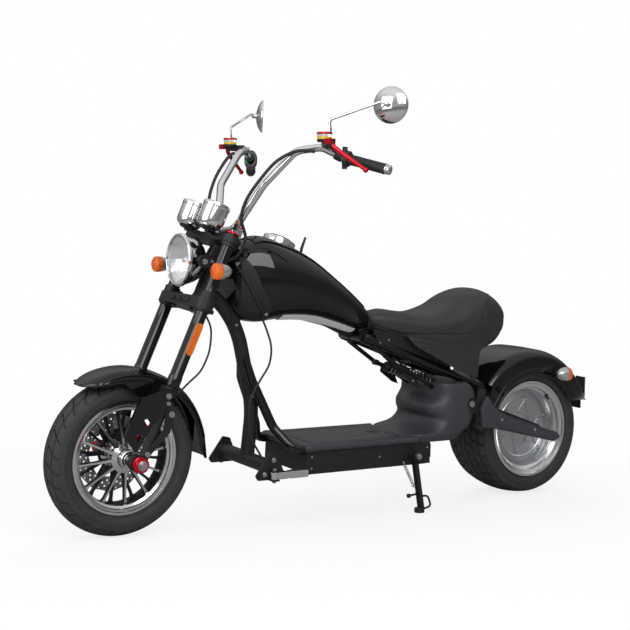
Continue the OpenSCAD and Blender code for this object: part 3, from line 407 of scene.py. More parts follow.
def tyre_section(r, w, crown, tread_half, rim_r, rim_w, groove):
    """A closed section of (radius, y): a crown under the blocks, round shoulders, sidewalls and beads."""
    drop = crown - sqrt(crown * crown - tread_half * tread_half)
    top = [(r - groove - crown + sqrt(crown * crown - y * y), y)
           for y in [tread_half * i / 8 for i in range(-8, 9)]]
    high, low = r - drop, rim_r
    side = [(high - groove - 2, w / 2 - 4.2), (high - 16, w / 2 - 1.6), (high - 22, w / 2 - 1.0),
            (high - 23, w / 2 - 1.9),
            (high - 25, w / 2 - 1.9), (high - 26, w / 2 - 0.6), ((high + low) / 2, w / 2 - 0.3),
            (low + 16, w / 2 - 1.6), (low + 9, w / 2 - 4), (low + 8, w / 2 - 5.6), (low + 5, w / 2 - 6.2),
            (low + 0.5, rim_w / 2 - 6.4), (low - 2, rim_w / 2 - 8.4), (low - 14.9, rim_w / 2 - 8.4)]
    return [(a, -b) for a, b in reversed(side)] + top + side


# Front tyre
# A wide road tyre of black rubber with raised blocks in four rows and curved grooves between them.
# Its sidewalls have two moulded rings and end in the beads behind the rim's flanges.
front_r, front_w, front_crown = 236.5, 120, 75
bm = bmesh.new()
lathe(bm, tyre_section(front_r, front_w, front_crown, 48, 169, 88, 5.5), 144)
tread(bm, [(-5.5, 5.5, 1.0, 0.0, 0.0, 0.0), (9, 30, 0.84, 0.0, -0.34, 0.08), (-30, -9, 0.84, 0.5, 0.34, 0.08),
           (33.5, 53, 0.80, 0.66, -0.30, -0.05), (-53, -33.5, 0.80, 0.16, 0.30, -0.05)],
      30, crown_line(front_r, front_crown, 48, 0.8))
part("front_tyre_tread", bm, front_wheel, tyre, "front_wheel", "front_tyre", sharp=40)

# Front rim
# A cast aluminium wheel with twelve spokes on each side, painted black with its faces turned bright.
# The flange is polished, and a cone joins the spokes to the hub.
bright = Finish("turned_aluminium", (0.78, 0.79, 0.8), "aluminium", Metallic=1.0, Roughness=0.16)
bright.feed(Roughness=0.12 + 0.12 * bright.noise(30, 4),
            Base_Color=bright.blend(bright.noise(16, 4), (0.7, 0.71, 0.72), (0.84, 0.85, 0.86)))
bright.bump(bright.noise(1200, 2), 0.00004, 0.4)
rim_r, rim_w = 169, 88
h = rim_w / 2


def rim_profile(steps):
    """A rim's closed profile, of steps of (in from the radius, in from the side) to its middle."""
    near = [(rim_r - a, b - h) for a, b in steps]
    return near + [(r, -y) for r, y in near[::-1] if y]


bm = bmesh.new()
lathe(bm, rim_profile([(22, 14), (15.3, 8), (2, 8), (0, 6), (0, 1), (1, 0), (8, 0), (10, 3), (17, 5),
                       (19, 9), (26, 13),
                       (28, 18), (28.5, h)]), 160)
for f in bm.faces:
    f.material_index = 1 if abs(f.calc_center_median().y) < 24 else 0
part("front_rim_ring", bm, front_wheel, [bright, satin], "front_wheel", "front_rim", sharp=25)

# columns: radius, y of the face, depth, half width
spoke_rows = ((24, 45, 24, 7.4), (40, 43, 22, 6.6), (58, 37, 19, 4.4), (100, 26, 16, 3.4),
              (128, 20.5, 15, 3.4),
              (136, 19.5, 15, 5.2), (142, 19, 15, 9.0))
spoke_count = 12
bm = bmesh.new()
for side in (1, -1):
    for n in range(spoke_count):
        turn = Matrix.Rotation(2 * pi * (n + (0.25 if side > 0 else 0.75)) / spoke_count, 3, "Y")
        loops = []
        for r, face, depth, half in spoke_rows:
            ring = [bm.verts.new(turn @ Vector((r, side * q, p))) for q, p in
                    ((face, half * 0.8), (face - 1.2, half), (face - depth, half), (face - depth, -half),
                     (face - 1.2, -half), (face, -half * 0.8))]
            loops.append([bm.edges.new(pair) for pair in zip(ring, ring[1:] + ring[:1])])
        for a, b in zip(loops, loops[1:]):
            bmesh.ops.bridge_loops(bm, edges=a + b)
        bmesh.ops.contextual_create(bm, geom=loops[0])
        bmesh.ops.contextual_create(bm, geom=loops[-1])
bmesh.ops.recalc_face_normals(bm, faces=bm.faces)
for f in bm.faces:
    middle = f.calc_center_median()
    f.material_index = 0 if abs(f.normal.y) > 0.75 and f.normal.y * middle.y > 0 else 1
part("front_spokes", bm, front_wheel, [bright, satin], "front_wheel", sharp=30)
bm = bmesh.new()
a = 8.2
lathe(bm, [(a, -75), (24, -75), (27, -72), (27, -48), (38, -44), (44, -41), (44, -22), (30, -18), (30, 18),
           (44, 22),
           (44, 41), (38, 44.5), (29, 49), (27, 53), (27, 69), (24, 72), (18, 72), (17, 75), (a, 75)], 96)
part("front_hub", bm, front_wheel, bright, "front_wheel", sharp=30)


# Front brake disc
# A steel disc with a waved edge and rows of drilled holes, on a black carrier on the right of the hub.
disc_r, disc_y = 118, -58


def bake(piece):
    """Replaces the piece's mesh by what its modifiers make of it."""
    bpy.context.view_layer.update()
    made = bpy.data.meshes.new_from_object(piece.evaluated_get(bpy.context.evaluated_depsgraph_get()))
    piece.modifiers.clear()
    old = piece.data
    piece.data = made
    made.name = old.name
    bpy.data.meshes.remove(old)


def cut_away(piece, bm, at):
    """Cuts the shape of a bmesh, in the frame at, out of the piece."""
    mesh = bpy.data.meshes.new("tool")
    bm.to_mesh(mesh)
    bm.free()
    mesh.transform(at)
    cutter = bpy.data.objects.new("tool", mesh)
    bpy.context.scene.collection.objects.link(cutter)
    cut = piece.modifiers.new("cut", "BOOLEAN")
    cut.operation = "DIFFERENCE"
    cut.solver = "EXACT"
    cut.object = cutter
    bake(piece)
    bpy.data.objects.remove(cutter)
    piece.data.shade_smooth()
    piece.data.set_sharp_from_angle(angle=radians(30))


bm = bmesh.new()
rings = [[], []]
wave_steps = 144
for n in range(wave_steps):
    a = 2 * pi * n / wave_steps
    outer = disc_r - 1.5 + 1.5 * cos(12 * a)
    inner = 74 + 2 * cos(6 * a)
    for ring, r in zip(rings, (outer, inner)):
        ring.append(bm.verts.new((r * cos(a), disc_y - 2, r * sin(a))))
loops = [[bm.edges.new(pair) for pair in zip(ring, ring[1:] + ring[:1])] for ring in rings]
flat = bmesh.ops.bridge_loops(bm, edges=loops[0] + loops[1])["faces"]
thick = bmesh.ops.extrude_face_region(bm, geom=flat, use_keep_orig=True)
bmesh.ops.translate(bm, verts=[v for v in thick["geom"] if isinstance(v, bmesh.types.BMVert)], vec=(0, 4, 0))
bmesh.ops.recalc_face_normals(bm, faces=bm.faces)
disc = part("front_disc_ring", bm, front_wheel, steel, "front_wheel", "front_disc", sharp=30)
bm = bmesh.new()
for n in range(24):
    a = 2 * pi * n / 24
    for k, (r, d) in enumerate(((84, 6), (93, 6.5), (102, 6.5), (110, 5))):
        b = a + (0.0 if k % 2 else 0.13) + k * 0.03
        drum(bm, (r * cos(b), disc_y - 9, r * sin(b)), (r * cos(b), disc_y + 9, r * sin(b)), d, sides=12)
cut_away(disc, bm, front_wheel)
bm = bmesh.new()
lathe(bm, [(27.3, disc_y - 3), (44, disc_y - 3), (46, disc_y - 2), (46, disc_y + 3), (27.3, disc_y + 3)], 64)
for n in range(6):
    a = 2 * pi * n / 6
    out = Vector((cos(a), 0, sin(a)))
    verts = box(bm, (40, disc_y - 3, -7), (76, disc_y + 2.6, 7))
    bmesh.ops.rotate(bm, verts=verts, cent=(0, 0, 0), matrix=Matrix.Rotation(-a, 3, "Y"))
    drum(bm, out * 79 + Vector((0, disc_y - 4, 0)), out * 79 + Vector((0, disc_y + 3.6, 0)), 12, sides=20)
    drum(bm, out * 38 + Vector((0, disc_y - 6, 0)), out * 38 + Vector((0, disc_y - 3, 0)), 9, sides=6)
part("front_disc_carrier", bm, front_wheel, satin, "front_wheel", sharp=30, slot="steel")

# Rear tyre
# A very wide road tyre: ribs between grooves that run round it, with slanting cuts to the shoulders.
rear_r, rear_w, rear_crown = 238.5, 215, 330
bm = bmesh.new()
lathe(bm, tyre_section(rear_r, rear_w, rear_crown, 90.3, 172, 200, 5.5), 144)
tread(bm, [(-11, 11, 1.0, 0.0, 0.0, 0.0), (15, 43, 0.88, 0.0, -0.5, 0.12), (-43, -15, 0.88, 0.4, 0.5, 0.12),
           (47.5, 72, 0.86, 0.3, -0.35, 0.0), (-72, -47.5, 0.86, 0.1, 0.35, 0.0),
           (76, 99, 0.84, 0.05, -0.2, 0.0), (-99, -76, 0.84, 0.75, 0.2, 0.0)],
      34, crown_line(rear_r, rear_crown, 90, 0.75))
part("rear_tyre_tread", bm, rear_wheel, tyre, "rear_wheel", "rear_tyre", sharp=40)

# Rear rim
# A deep polished rim, stepped down from its flange to the cover of the hub motor.
# The outer side carries a tyre valve near the flange.
rim_r, rim_w, motor_r, motor_w = 172, 200, 122, 112
h, m = rim_w / 2, motor_w / 2
bm = bmesh.new()
lathe(bm, rim_profile([(22, 16), (15.3, 8), (2, 8), (0, 6), (0, 1), (1, 0), (9, 0), (11, 3), (22, 9),
                       (24, 20), (33, 27),
                       (35, 34), (43, h - m + 2), (44, h - m + 8)]), 160)
part("rear_rim_ring", bm, rear_wheel, bright, "rear_wheel", "rear_rim", sharp=25)

# Hub motor
# The motor's cover is a dished casting with raised lines that make two overlapping triangles in a ring.
bm = bmesh.new()
lathe(bm, [(8.1, -m - 29), (24, -m - 29), (28, -m), (60, -m + 3), (108, -m + 4), (motor_r, -m + 10),
           (motor_r + 5.6, -m + 12),
           (motor_r + 5.6, m - 12), (motor_r + 1, m - 11), (motor_r - 4, m - 7), (112, m - 6),
           (108, m - 2.5), (104, m - 6),
           (40, m - 3.5), (34, m), (28, m + 1), (24, m + 18), (20, m + 19.5), (8.1, m + 19.5)], 128)
for k in range(2):
    corners = [Vector((96 * cos(a), m - 5.6, 96 * sin(a))) for a in
               [radians(90 + 60 * k + 120 * n + 12) for n in range(3)]]
    for a, b in zip(corners, corners[1:] + corners[:1]):
        along = (b - a).normalized()
        across = along.cross(Vector((0, 1, 0)))
        verts = box(bm, (-3.4, 0, 0), (3.4, 3.4, (b - a).length + 5))
        bmesh.ops.transform(bm, verts=verts, matrix=Matrix.Translation(a - along * 2.5)
                            @ Matrix((across, Vector((0, 1, 0)), along)).transposed().to_4x4())
for n in range(6):
    a = radians(60 * n + 42)
    bolt(bm, (116 * cos(a), m - 6.5, 116 * sin(a)), (0, 1, 0), 7, 4, hexagon=False)
part("motor_cover", bm, rear_wheel, cast, "rear_wheel", sharp=30)
bm = bmesh.new()
lathe(bm, [(8.1, -m - 28), (100, -m - 28), (100, -m - 24), (8.1, -m - 24)], 96)
part("rear_disc", bm, rear_wheel, steel, "rear_wheel", "motor_hub", sharp=30)
bm = bmesh.new()
valve = Vector((cos(2.3), 0, sin(2.3)))
drum(bm, valve * 145 + Vector((0, h - 24, 0)), valve * 136 + Vector((0, h - 4, 0)), 9, 7, 20)
part("rear_valve", bm, rear_wheel, rubber, "rear_wheel", slot="tyre")

# Lines, swept tubes and lofts
# Bent tubes, hoses and shells are drawn as rings of points that are joined in turn.
def rounded(points, r, step=8):
    """A line whose inner corners are rounded to radius r."""
    points = [Vector(p) for p in points]
    line = [points[0]]
    for before, corner, after in zip(points, points[1:], points[2:]):
        a, b = (corner - before).normalized(), (after - corner).normalized()
        turn = a.angle(b)
        if turn < 0.01:
            continue
        reach = r * tan(turn / 2)
        side = (b - a * a.dot(b)).normalized()
        n = max(2, ceil(degrees(turn) / step))
        start = corner - a * reach
        line += [start + a * r * sin(turn * k / n) + side * r * (1 - cos(turn * k / n)) for k in range(n + 1)]
    return line + [points[-1]]


def curve(rows, steps):
    """A smooth curve through rows of any length."""
    rows = [tuple(r) for r in rows]
    out = []
    for i in range(len(rows) - 1):
        p = [rows[max(i - 1, 0)], rows[i], rows[i + 1], rows[min(i + 2, len(rows) - 1)]]
        for k in range(steps):
            t = k / steps
            out.append(tuple(0.5 * (2 * b + (c - a) * t + (2 * a - 5 * b + 4 * c - d) * t * t
                                    + (3 * b - a - 3 * c + d) * t ** 3) for a, b, c, d in zip(*p)))
    return out + [rows[-1]]


def loft(bm, rings, caps=True):
    rows = [[bm.verts.new(p) for p in ring] for ring in rings]
    for a, b in zip(rows, rows[1:]):
        for k in range(len(a)):
            j = (k + 1) % len(a)
            bm.faces.new((a[k], a[j], b[j], b[k]))
    if caps:
        bm.faces.new(rows[0][::-1])
        bm.faces.new(rows[-1])
    bmesh.ops.recalc_face_normals(bm, faces=bm.faces)


def tube(bm, line, d, sides=20):
    """A round tube along a line; d is its diameter or one for each point."""
    line = [Vector(p) for p in line]
    ways = [(b - a).normalized() for a, b in zip(line, line[1:])]
    ways = [ways[0]] + [(a + b).normalized() for a, b in zip(ways, ways[1:])] + [ways[-1]]
    across = ways[0].orthogonal().normalized()
    rings = []
    for i, (p, way) in enumerate(zip(line, ways)):
        across = (across - way * across.dot(way)).normalized()
        other = way.cross(across)
        r = (d[i] if isinstance(d, (list, tuple)) else d) / 2
        rings.append([p + r * (cos(2 * pi * k / sides) * across + sin(2 * pi * k / sides) * other)
                      for k in range(sides)])
    loft(bm, rings)


def turned(bm, profile, base, direction, steps=64, closed=None, squash=(1, 1)):
    """A profile of (radius, distance) spun about a line from base, closed if it starts off the line."""
    before = set(bm.verts)
    lathe(bm, profile, steps, profile[0][0] > 0 if closed is None else closed)
    turn = Vector(direction).to_track_quat("Y", "Z").to_matrix().to_4x4()
    bmesh.ops.transform(bm, verts=[v for v in bm.verts if v not in before],
                        matrix=Matrix.Translation(base) @ turn @ Matrix.Diagonal((squash[0], 1, squash[1],
                                                                                  1)))


def slab(bm, outline, y0, y1):
    """A flat plate of an outline of (x, z), from y0 to y1."""
    loft(bm, [[(x, y, z) for x, z in outline] for y in (y0, y1)])


def capsule(a, b, r, steps=8):
    """The outline of a slot with round ends."""
    a, b = Vector(a), Vector(b)
    start = atan2(b.y - a.y, b.x - a.x)
    return [(c.x + r * cos(start + t), c.y + r * sin(start + t))
            for c, low in ((b, -pi / 2), (a, pi / 2))
            for t in [low + pi * k / steps for k in range(steps + 1)]]


# Fork tubes
# Black painted steel tubes, 40 mm thick, with a polished streak, a thicker sleeve at the foot and red
# screwed caps.
# The clamps grip them with round collars, each closed by a pinch bolt from behind.
fork_y, fork_u = 122, 46
fork_at = {s: Vector((fork_u, s * fork_y, 0)) for s in both}
bm = bmesh.new()
for s in both:
    turned(bm, [(0, -392), (20.6, -392), (21.6, -390), (21.6, -360), (21, -358.5), (21, -356), (20, -354.5),
                (20, 72),
                (20, 104), (18, 106), (0, 106)], fork_at[s], up_axis, 64)
part("fork_tube_pair", bm, steered, gloss, "front_end", "fork_tubes")
bm = bmesh.new()
for s in both:
    turned(bm, [(6, 106.2), (20.5, 106.2), (21.5, 107.5), (21.5, 110.5), (19.5, 113), (9, 113), (7.5, 111),
                (6, 111)],
           fork_at[s], up_axis, 48)
part("fork_caps", bm, steered, red, "front_end")
bm = bmesh.new()
for s in both:
    for low, high, r in ((-149, -86, 25.5), (66, 100.4, 24.5)):
        turned(bm, [(20.2, low), (r - 1, low), (r, low + 1.2), (r, high - 2), (r - 1.6, high), (20.2, high)],
               fork_at[s], up_axis, 56)
        for w in (low + 10, high - 10):
            box(bm, (fork_u - 36, s * fork_y - 9, w - 6), (fork_u - 22, s * fork_y + 9, w + 6))
            bolt(bm, (fork_u - 30, s * (fork_y + 9), w), (0, s, 0), 8, 4, False)
for s in both:
    bolt(bm, (fork_u + 34, s * 22, -126), (1, 0, 0), 11, 5)
    bolt(bm, (fork_u + 6, s * 60, -143.2), (0, 0, -1), 13, 8)
box(bm, (fork_u - 24, -70, -132), (fork_u + 33.5, 70, -112))
part("clamp_collars", bm, steered, satin, "front_end", bevel=0.0006)
bm = bmesh.new()
for s in both:
    slab(bm, capsule((fork_u - 2, -196), (fork_u - 2, -276), 11.5), s * 139, s * 145)
part("fork_reflectors", bm, steered, amber, "front_end", bevel=0.0016)

# Headlight
# A spun and chromed bucket with a rim that holds the moulded glass, a faceted reflector and a bulb
# with a shield.
# It hangs between two black ears on the fork tubes and tilts on a bolt at each side.
lamp = steered @ Matrix.Translation((130, 0, -20)) @ Matrix.Rotation(rake, 4, "Y")
bm = bmesh.new()
turned(bm, [(0, -88), (20, -87.5), (38, -84), (52, -76), (63, -64), (71, -48), (76, -32), (78, -22),
            (78, -15),
            (82, -15), (83, -13), (83.4, -8), (82.4, -3), (80, -0.6), (77, -0.2), (75.6, -1.6), (75.4, -4),
            (74, -6),
            (74, -16), (60, -44), (36, -62), (0, -70)], (0, 0, 0), ahead, 128)
part("headlight_bucket", bm, lamp, chrome, "front_end", "headlight", sharp=24)
bm = bmesh.new()
turned(bm, [(r, -58 + 46 * (r / 73.6) ** 2.2) for r in (6, 14, 24, 34, 44, 54, 62, 69, 73.6)], (0, 0, 0),
       ahead, 30, False)
turned(bm, [(0, -22), (9, -22.4), (10.5, -25), (10.5, -36), (9.5, -36), (9.5, -25.5), (0, -24)], (0, 0, 0),
       ahead, 32)
part("headlight_reflector", bm, lamp, bright, "front_end", sharp=4, slot="chrome")
bm = bmesh.new()
turned(bm, [(0, 6.5), (24, 5.8), (46, 3.6), (62, 0.6), (72, -3), (75, -5), (75, -8), (71, -6.4), (61, -3),
            (45, 0),
            (24, 2.4), (0, 3)], (0, 0, 0), ahead, 96)
part("headlight_glass", bm, lamp, glass, "front_end", "headlight_lens", sharp=60)
bm = bmesh.new()
for s in both:
    slab(bm, capsule((-90, 0), (-40, 0), 19), s * 96, s * 101.4)
    slab(bm, [(-102, 40), (-78, 48), (-56, 15), (-84, 14)], s * 96, s * 101.4)
    slab(bm, [(-102, -42), (-80, -48), (-56, -15), (-84, -14)], s * 96, s * 101.4)
    drum(bm, (-44, s * 72, 0), (-44, s * 96, 0), 24, 18, 32)
    drum(bm, (-44, s * 78, 0), (-44, s * 81, 0), 27, 27, 32)
part("headlight_ears", bm, lamp, satin, "front_end", bevel=0.0008)
bm = bmesh.new()
side_bolts(bm, [(-44, 101.4, 0, 14, 9), (-70, 101.4, 0, 9, 5)], True)
part("headlight_bolts", bm, lamp, chrome, "front_end")

# Front turn signals
# Amber lenses on silver painted bullet housings, each on a short black stem from the fork's side.
signal_at = {s: Vector((-42, s * 205, -24)) for s in both}
bm = bmesh.new()
for s in both:
    turned(bm, [(0, -39), (6, -38), (13, -33), (19, -24), (23, -12), (24.6, -3), (24.8, 0), (22, 0), (0, -1)],
           signal_at[s], ahead, 64)
part("front_signal_bodies", bm, lamp, silver, "front_end")
bm = bmesh.new()
for s in both:
    turned(bm, [(0, 0.3), (24.4, 0.3), (25.4, 2), (25.4, 14), (24, 19), (19, 23), (0, 24.5)],
           signal_at[s], ahead, 64)
part("front_signal_lenses", bm, lamp, amber, "front_end", "front_signals")
bm = bmesh.new()
for s in both:
    tube(bm, rounded([(-81, s * 142.4, -24), (-81, s * 181, -24), (-56, s * 200, -24)], 12), 13)
    for y in (146, 152, 158, 164):
        turned(bm, [(6.4, -1.6), (8.4, -1.2), (8.4, 1.2), (6.4, 1.6)], (-81, s * y, -24), (0, 1, 0), 32)
part("front_signal_stems", bm, lamp, plastic, "front_end")

# Gauges
# Two spun chrome cups with rounded bottoms on a black bracket over the upper clamp.
# Each has a bezel, a dark dial and a flat glass.
gauge_at = {s: Vector((107, s * 70, 100)) for s in both}
bm = bmesh.new()
for s in both:
    turned(bm, [(0, 0.3), (20, 0.8), (30, 3), (37.5, 8), (41.8, 16), (43, 26), (43, 66), (43.8, 67.5),
                (44.2, 70),
                (44.2, 78), (43, 81), (40.6, 82), (39, 80.6), (38.6, 77), (38.6, 74), (0, 73)],
           gauge_at[s], up_axis, 96)
part("gauge_cups", bm, steered, chrome, "front_end", "gauges", sharp=24)
bm = bmesh.new()
for s in both:
    turned(bm, [(0, 75), (37.8, 75), (38.4, 76.5), (33, 75.6), (0, 75.4)], gauge_at[s], up_axis, 64)
    drum(bm, (107, s * 70, 175.2), (107, s * 70, 176.6), 9, 9, 24)
    tick = box(bm, (106.2, s * 70 - 1, 175.6), (107.8, s * 70 + 26, 176.3))
    bmesh.ops.rotate(bm, verts=tick, cent=(107, s * 70, 176), matrix=Matrix.Rotation(2.3, 3, "Z"))
part("gauge_dials", bm, steered, plastic, "front_end")
bm = bmesh.new()
for s in both:
    turned(bm, [(0, 80.6), (38.5, 80), (38.5, 78.6), (0, 79)], gauge_at[s], up_axis, 64)
part("gauge_glasses", bm, steered, glass, "front_end")
bm = bmesh.new()
for s in both:
    tube(bm, rounded([(20, s * 34, 96), (60, s * 46, 96), (107, s * 70, 98)], 20), 13, 16)
    turned(bm, [(0, -4), (22, -4), (26, -2), (27, 0.2), (0, 0.2)], gauge_at[s], up_axis, 48)
    drum(bm, (107, s * 70, 88), (107, s * 70, 97), 16, 16, 6)
box(bm, (8, -52, 100.3), (40, 52, 106))
part("gauge_bracket", bm, steered, satin, "front_end", bevel=0.0008)

# Handlebar
# One chromed steel tube, 25 mm thick, bent up from the clamps, out over the shoulders and back to the
# grips.
# Two round posts carry it, each with a two-piece clamp and red cap screws.
bar = {s: [head + Vector((x, s * y, z)) for x, y, z in
           ((-40, 50, 125), (-92, 140, 275), (-180, 182, 386), (-240, 240, 400),
            (-290, 290, 368))] for s in both}
bar_end = {s: head + Vector((-362, s * 412, 336)) for s in both}
grip_way = {s: (bar_end[s] - bar[s][4]).normalized() for s in both}
neck_way = {s: (bar[s][4] - bar[s][3]).normalized() for s in both}
bm = bmesh.new()
tube(bm, rounded(bar[-1][::-1] + bar[1], 60, 5), 25, 32)
for s in both:
    tube(bm, [bar[s][4] - grip_way[s] * 2, bar_end[s]], 22, 32)
part("handlebar_tube", bm, upright, chrome, "front_end", "handlebar")
bm = bmesh.new()
for s in both:
    turned(bm, [(0, 100.4), (19, 100.4), (19, 104), (16, 108), (15, 120), (17, 126), (17, 131), (0, 131)],
           (-4, s * 42, 0),
           up_axis, 48)
    box(bm, (-22, s * 42 - 15, 118), (18, s * 42 + 15, 146))
part("bar_clamps", bm, steered, chrome, "front_end", bevel=0.0025)
bm = bmesh.new()
for s in both:
    for u in (-16, 12):
        bolt(bm, (u, s * 42, 146), up_axis, 9, 8, False)
part("bar_clamp_screws", bm, steered, red, "front_end")

# Grips
# Black rubber sleeves with rings round them, over plastic cores, closed by chromed weights at the
# bar's ends.
bm = bmesh.new()
for s in both:
    start, end = bar[s][4] + grip_way[s] * 21.5, bar_end[s] + grip_way[s] * 2
    long = (end - start).length
    profile = [(11.2, 0), (18.5, 0), (19.5, 1.5), (19.5, 5), (17, 7)]
    n = 22
    for k in range(n):
        y = 8 + (long - 18) * k / n
        pitch = (long - 18) / n
        profile += [(16.9, y), (16.9, y + pitch * 0.62), (16.1, y + pitch * 0.74), (16.1, y + pitch * 0.9)]
    profile += [(17.4, long - 7), (17.8, long - 2), (16, long), (11.2, long)]
    turned(bm, profile, start, grip_way[s], 48)
part("grip_sleeves", bm, upright, rubber, "front_end", "grips", sharp=30)
bm = bmesh.new()
for s in both:
    turned(bm, [(0, 2.2), (15, 2.2), (16.5, 4), (16.5, 7), (13.5, 9), (13.5, 11), (15.5, 13), (15.5, 17),
                (12.5, 20), (0, 20)],
           bar_end[s], grip_way[s], 48)
part("bar_weights", bm, upright, chrome, "front_end")

# Brake controls
# Each side has an oval fluid cup with a red lid on a black master cylinder, clamped round the bar.
# A flat red anodised lever folds forward from it along the grip.
master = {s: head + Vector((-209, s * 299, 416)) for s in both}
cup_oval = (1.05, 1.5)
bm = bmesh.new()
for s in both:
    at, way = master[s], neck_way[s]
    tube(bm, [at + Vector((-30, -s * 44, -8)), at + Vector((-10, s * 26, -6))], 22, 28)
    turned(bm, [(13, -3), (17, -2), (17, 22), (13, 22)], bar[s][4] - way * 26, way, 36)
    tube(bm, [bar[s][4] - way * 15 + Vector((4, 0, 14)), at + Vector((-12, -s * 6, -8))], 16, 20)
    turned(bm, [(0, -4), (17, -4), (19, -1), (19, 5), (0, 5)], at, up_axis, 48, squash=cup_oval)
    drum(bm, at + Vector((-12, s * 26, -15)), at + Vector((-12, s * 26, 7)), 21, 21, 32)
part("master_cylinders", bm, upright, satin, "front_end", bevel=0.0006)
bm = bmesh.new()
for s in both:
    turned(bm, [(0, 13), (18.6, 13), (18.8, 20), (0, 20)], master[s], up_axis, 48, squash=cup_oval)
part("reservoir_cups", bm, upright, glass, "front_end")
bm = bmesh.new()
for s in both:
    turned(bm, [(0, 5.1), (18.4, 5.1), (18.4, 12.8), (0, 12.8)], master[s], up_axis, 48, squash=cup_oval)
part("brake_fluid", bm, upright, Finish("brake_fluid_yellow", (0.62, 0.4, 0.02), "lens", Roughness=0.12),
     "front_end")
bm = bmesh.new()
for s in both:
    at = master[s]
    turned(bm, [(0, 20.2), (18.8, 20.2), (20.2, 21.4), (20.2, 25.4), (18.6, 27.4), (0, 27.8)], at, up_axis,
           48, squash=cup_oval)
    pivot = at + Vector((-12, s * 26, -4))
    tip = bar_end[s] + Vector((50, -s * 26, -2))
    drum(bm, pivot + Vector((0, 0, -9)), pivot + Vector((0, 0, 9)), 17, 17, 32)
    rings = []
    for t, bow in curve([(0, 0), (0.12, 14), (0.3, 16), (0.6, 12), (0.85, 6), (1, 4)], 5):
        p = pivot.lerp(tip, t) + Vector((bow, 0, -4 * t))
        across = Vector((0.93, s * 0.37, 0))
        wide, high = 6.5 - 1.5 * t, (6.4 - 2.2 * t) * 1.6
        rings.append([p + across * wide * cos(a) * (1 if abs(cos(a)) > 0.5 else 0.9)
                      + Vector((0, 0, high * sin(a))) for a in [2 * pi * j / 16 for j in range(16)]])
    loft(bm, rings)
    bmesh.ops.create_uvsphere(bm, u_segments=20, v_segments=12, radius=8.5,
                              matrix=Matrix.Translation(tip + Vector((4, 0, -4))))
    box(bm, at + Vector((2, s * 22, -11)), at + Vector((16, s * 52, 6)))
part("levers_and_lids", bm, upright, red, "front_end", "brake_controls", bevel=0.0006)
bm = bmesh.new()
for s in both:
    for y in (-20, 20):
        bolt(bm, master[s] + Vector((0, y, 27)), up_axis, 6, 2.4, False)
    drum(bm, master[s] + Vector((-42, -s * 62, -8)), master[s] + Vector((-30, -s * 44, -8)), 9, 13, 20)
part("master_fittings", bm, upright, steel, "front_end")

# Switch housings
# Black moulded clamshells inboard of the grips: a round flanged one on the left and a longer grey one
# on the right.
# The right one carries a red stop switch and a green button.
bm = bmesh.new()
for s in both:
    turned(bm, [(12, 3.6), (20, 3.6), (22.6, 5.4), (22.6, 19.4), (21.4, 21), (12, 21)], bar[s][4],
           grip_way[s], 40,
           squash=(1, 1.15))
low = bar[1][4] + grip_way[1] * 4
drum(bm, low + Vector((0, 0, -34)), low + Vector((0, 0, 36)), 17, 17, 6)
part("switch_housings", bm, upright, plastic, "front_end", "switch_pods", bevel=0.001)
bm = bmesh.new()
base = bar[-1][4] - grip_way[-1] * 26
turned(bm, [(13, 0), (19, 0), (22, 3), (23, 12), (22, 26), (18, 29), (13, 29)], base, grip_way[-1], 48,
       squash=(1.0, 1.5))
part("right_switch_body", bm, upright, moulded, "front_end", bevel=0.001, slot="black_plastic")
bm = bmesh.new()
face = base + grip_way[-1] * 14 + Vector((20, 4, 6))
drum(bm, face + Vector((0, 0, 14)), face + Vector((5, 1, 16)), 11, 10, 24)
part("stop_switch", bm, upright, red, "front_end")
bm = bmesh.new()
drum(bm, face + Vector((0, 0, -14)), face + Vector((5, 1, -15)), 12, 11, 24)
part("green_button", bm, upright, Finish("green_plastic", (0.01, 0.3, 0.08), "black_plastic", Roughness=0.3),
     "front_end")

# Mirrors
# Round chromed shells with a rolled lip and a flat glass, each on a ball joint and a bent chromed stem.
bm = bmesh.new()
glass_bm = bmesh.new()
for s in both:
    at = Vector((898, s * 395, 1337))
    out = Vector((cos(radians(30)), s * sin(radians(30)), 0))
    turned(bm, [(0, 19), (10, 18.6), (24, 16.4), (38, 12), (49, 6.4), (56, 1), (58.6, -2), (59, -4.4),
                (57.8, -6),
                (56.4, -5.4), (55.6, -3.4), (0, -3)], at, out, 96)
    turned(glass_bm, [(0, -4.2), (55.2, -4.2), (55.2, -3.4), (0, -3.2)], at, out, 72)
    foot = master[s] + Vector((-8, s * 16, 28))
    elbow = at + Vector((40, s * 4, 6))
    drum(bm, at + out * 16, at + out * 26, 20, 15, 32)
    bmesh.ops.create_uvsphere(bm, u_segments=24, v_segments=14, radius=8.5,
                              matrix=Matrix.Translation(at + out * 27))
    tube(bm, rounded([foot + Vector((0, 0, 4)), foot + Vector((0, 0, 38)), elbow, at + out * 27], 14, 10),
         8.5, 20)
    turned(bm, [(0, 0), (8, 0), (8, 12), (6.5, 13), (6.5, 19), (0, 19)], foot, up_axis, 6)
part("mirror_shells", bm, upright, chrome, "front_end", "mirrors", sharp=40)
part("mirror_glasses", glass_bm, upright, Finish("mirror_silver", (0.75, 0.77, 0.8), "chrome", Metallic=1.0,
                                                 Roughness=0.02), "front_end")

# Looms
# The bar's wires and hoses run down in black spiral wrap, strapped to the bar and tucked in behind
# the headlight.
def on_steering(u, y, w):
    return Vector((head.x + u * cos(rake) - w * sin(rake), y, head.z + u * sin(rake) + w * cos(rake)))


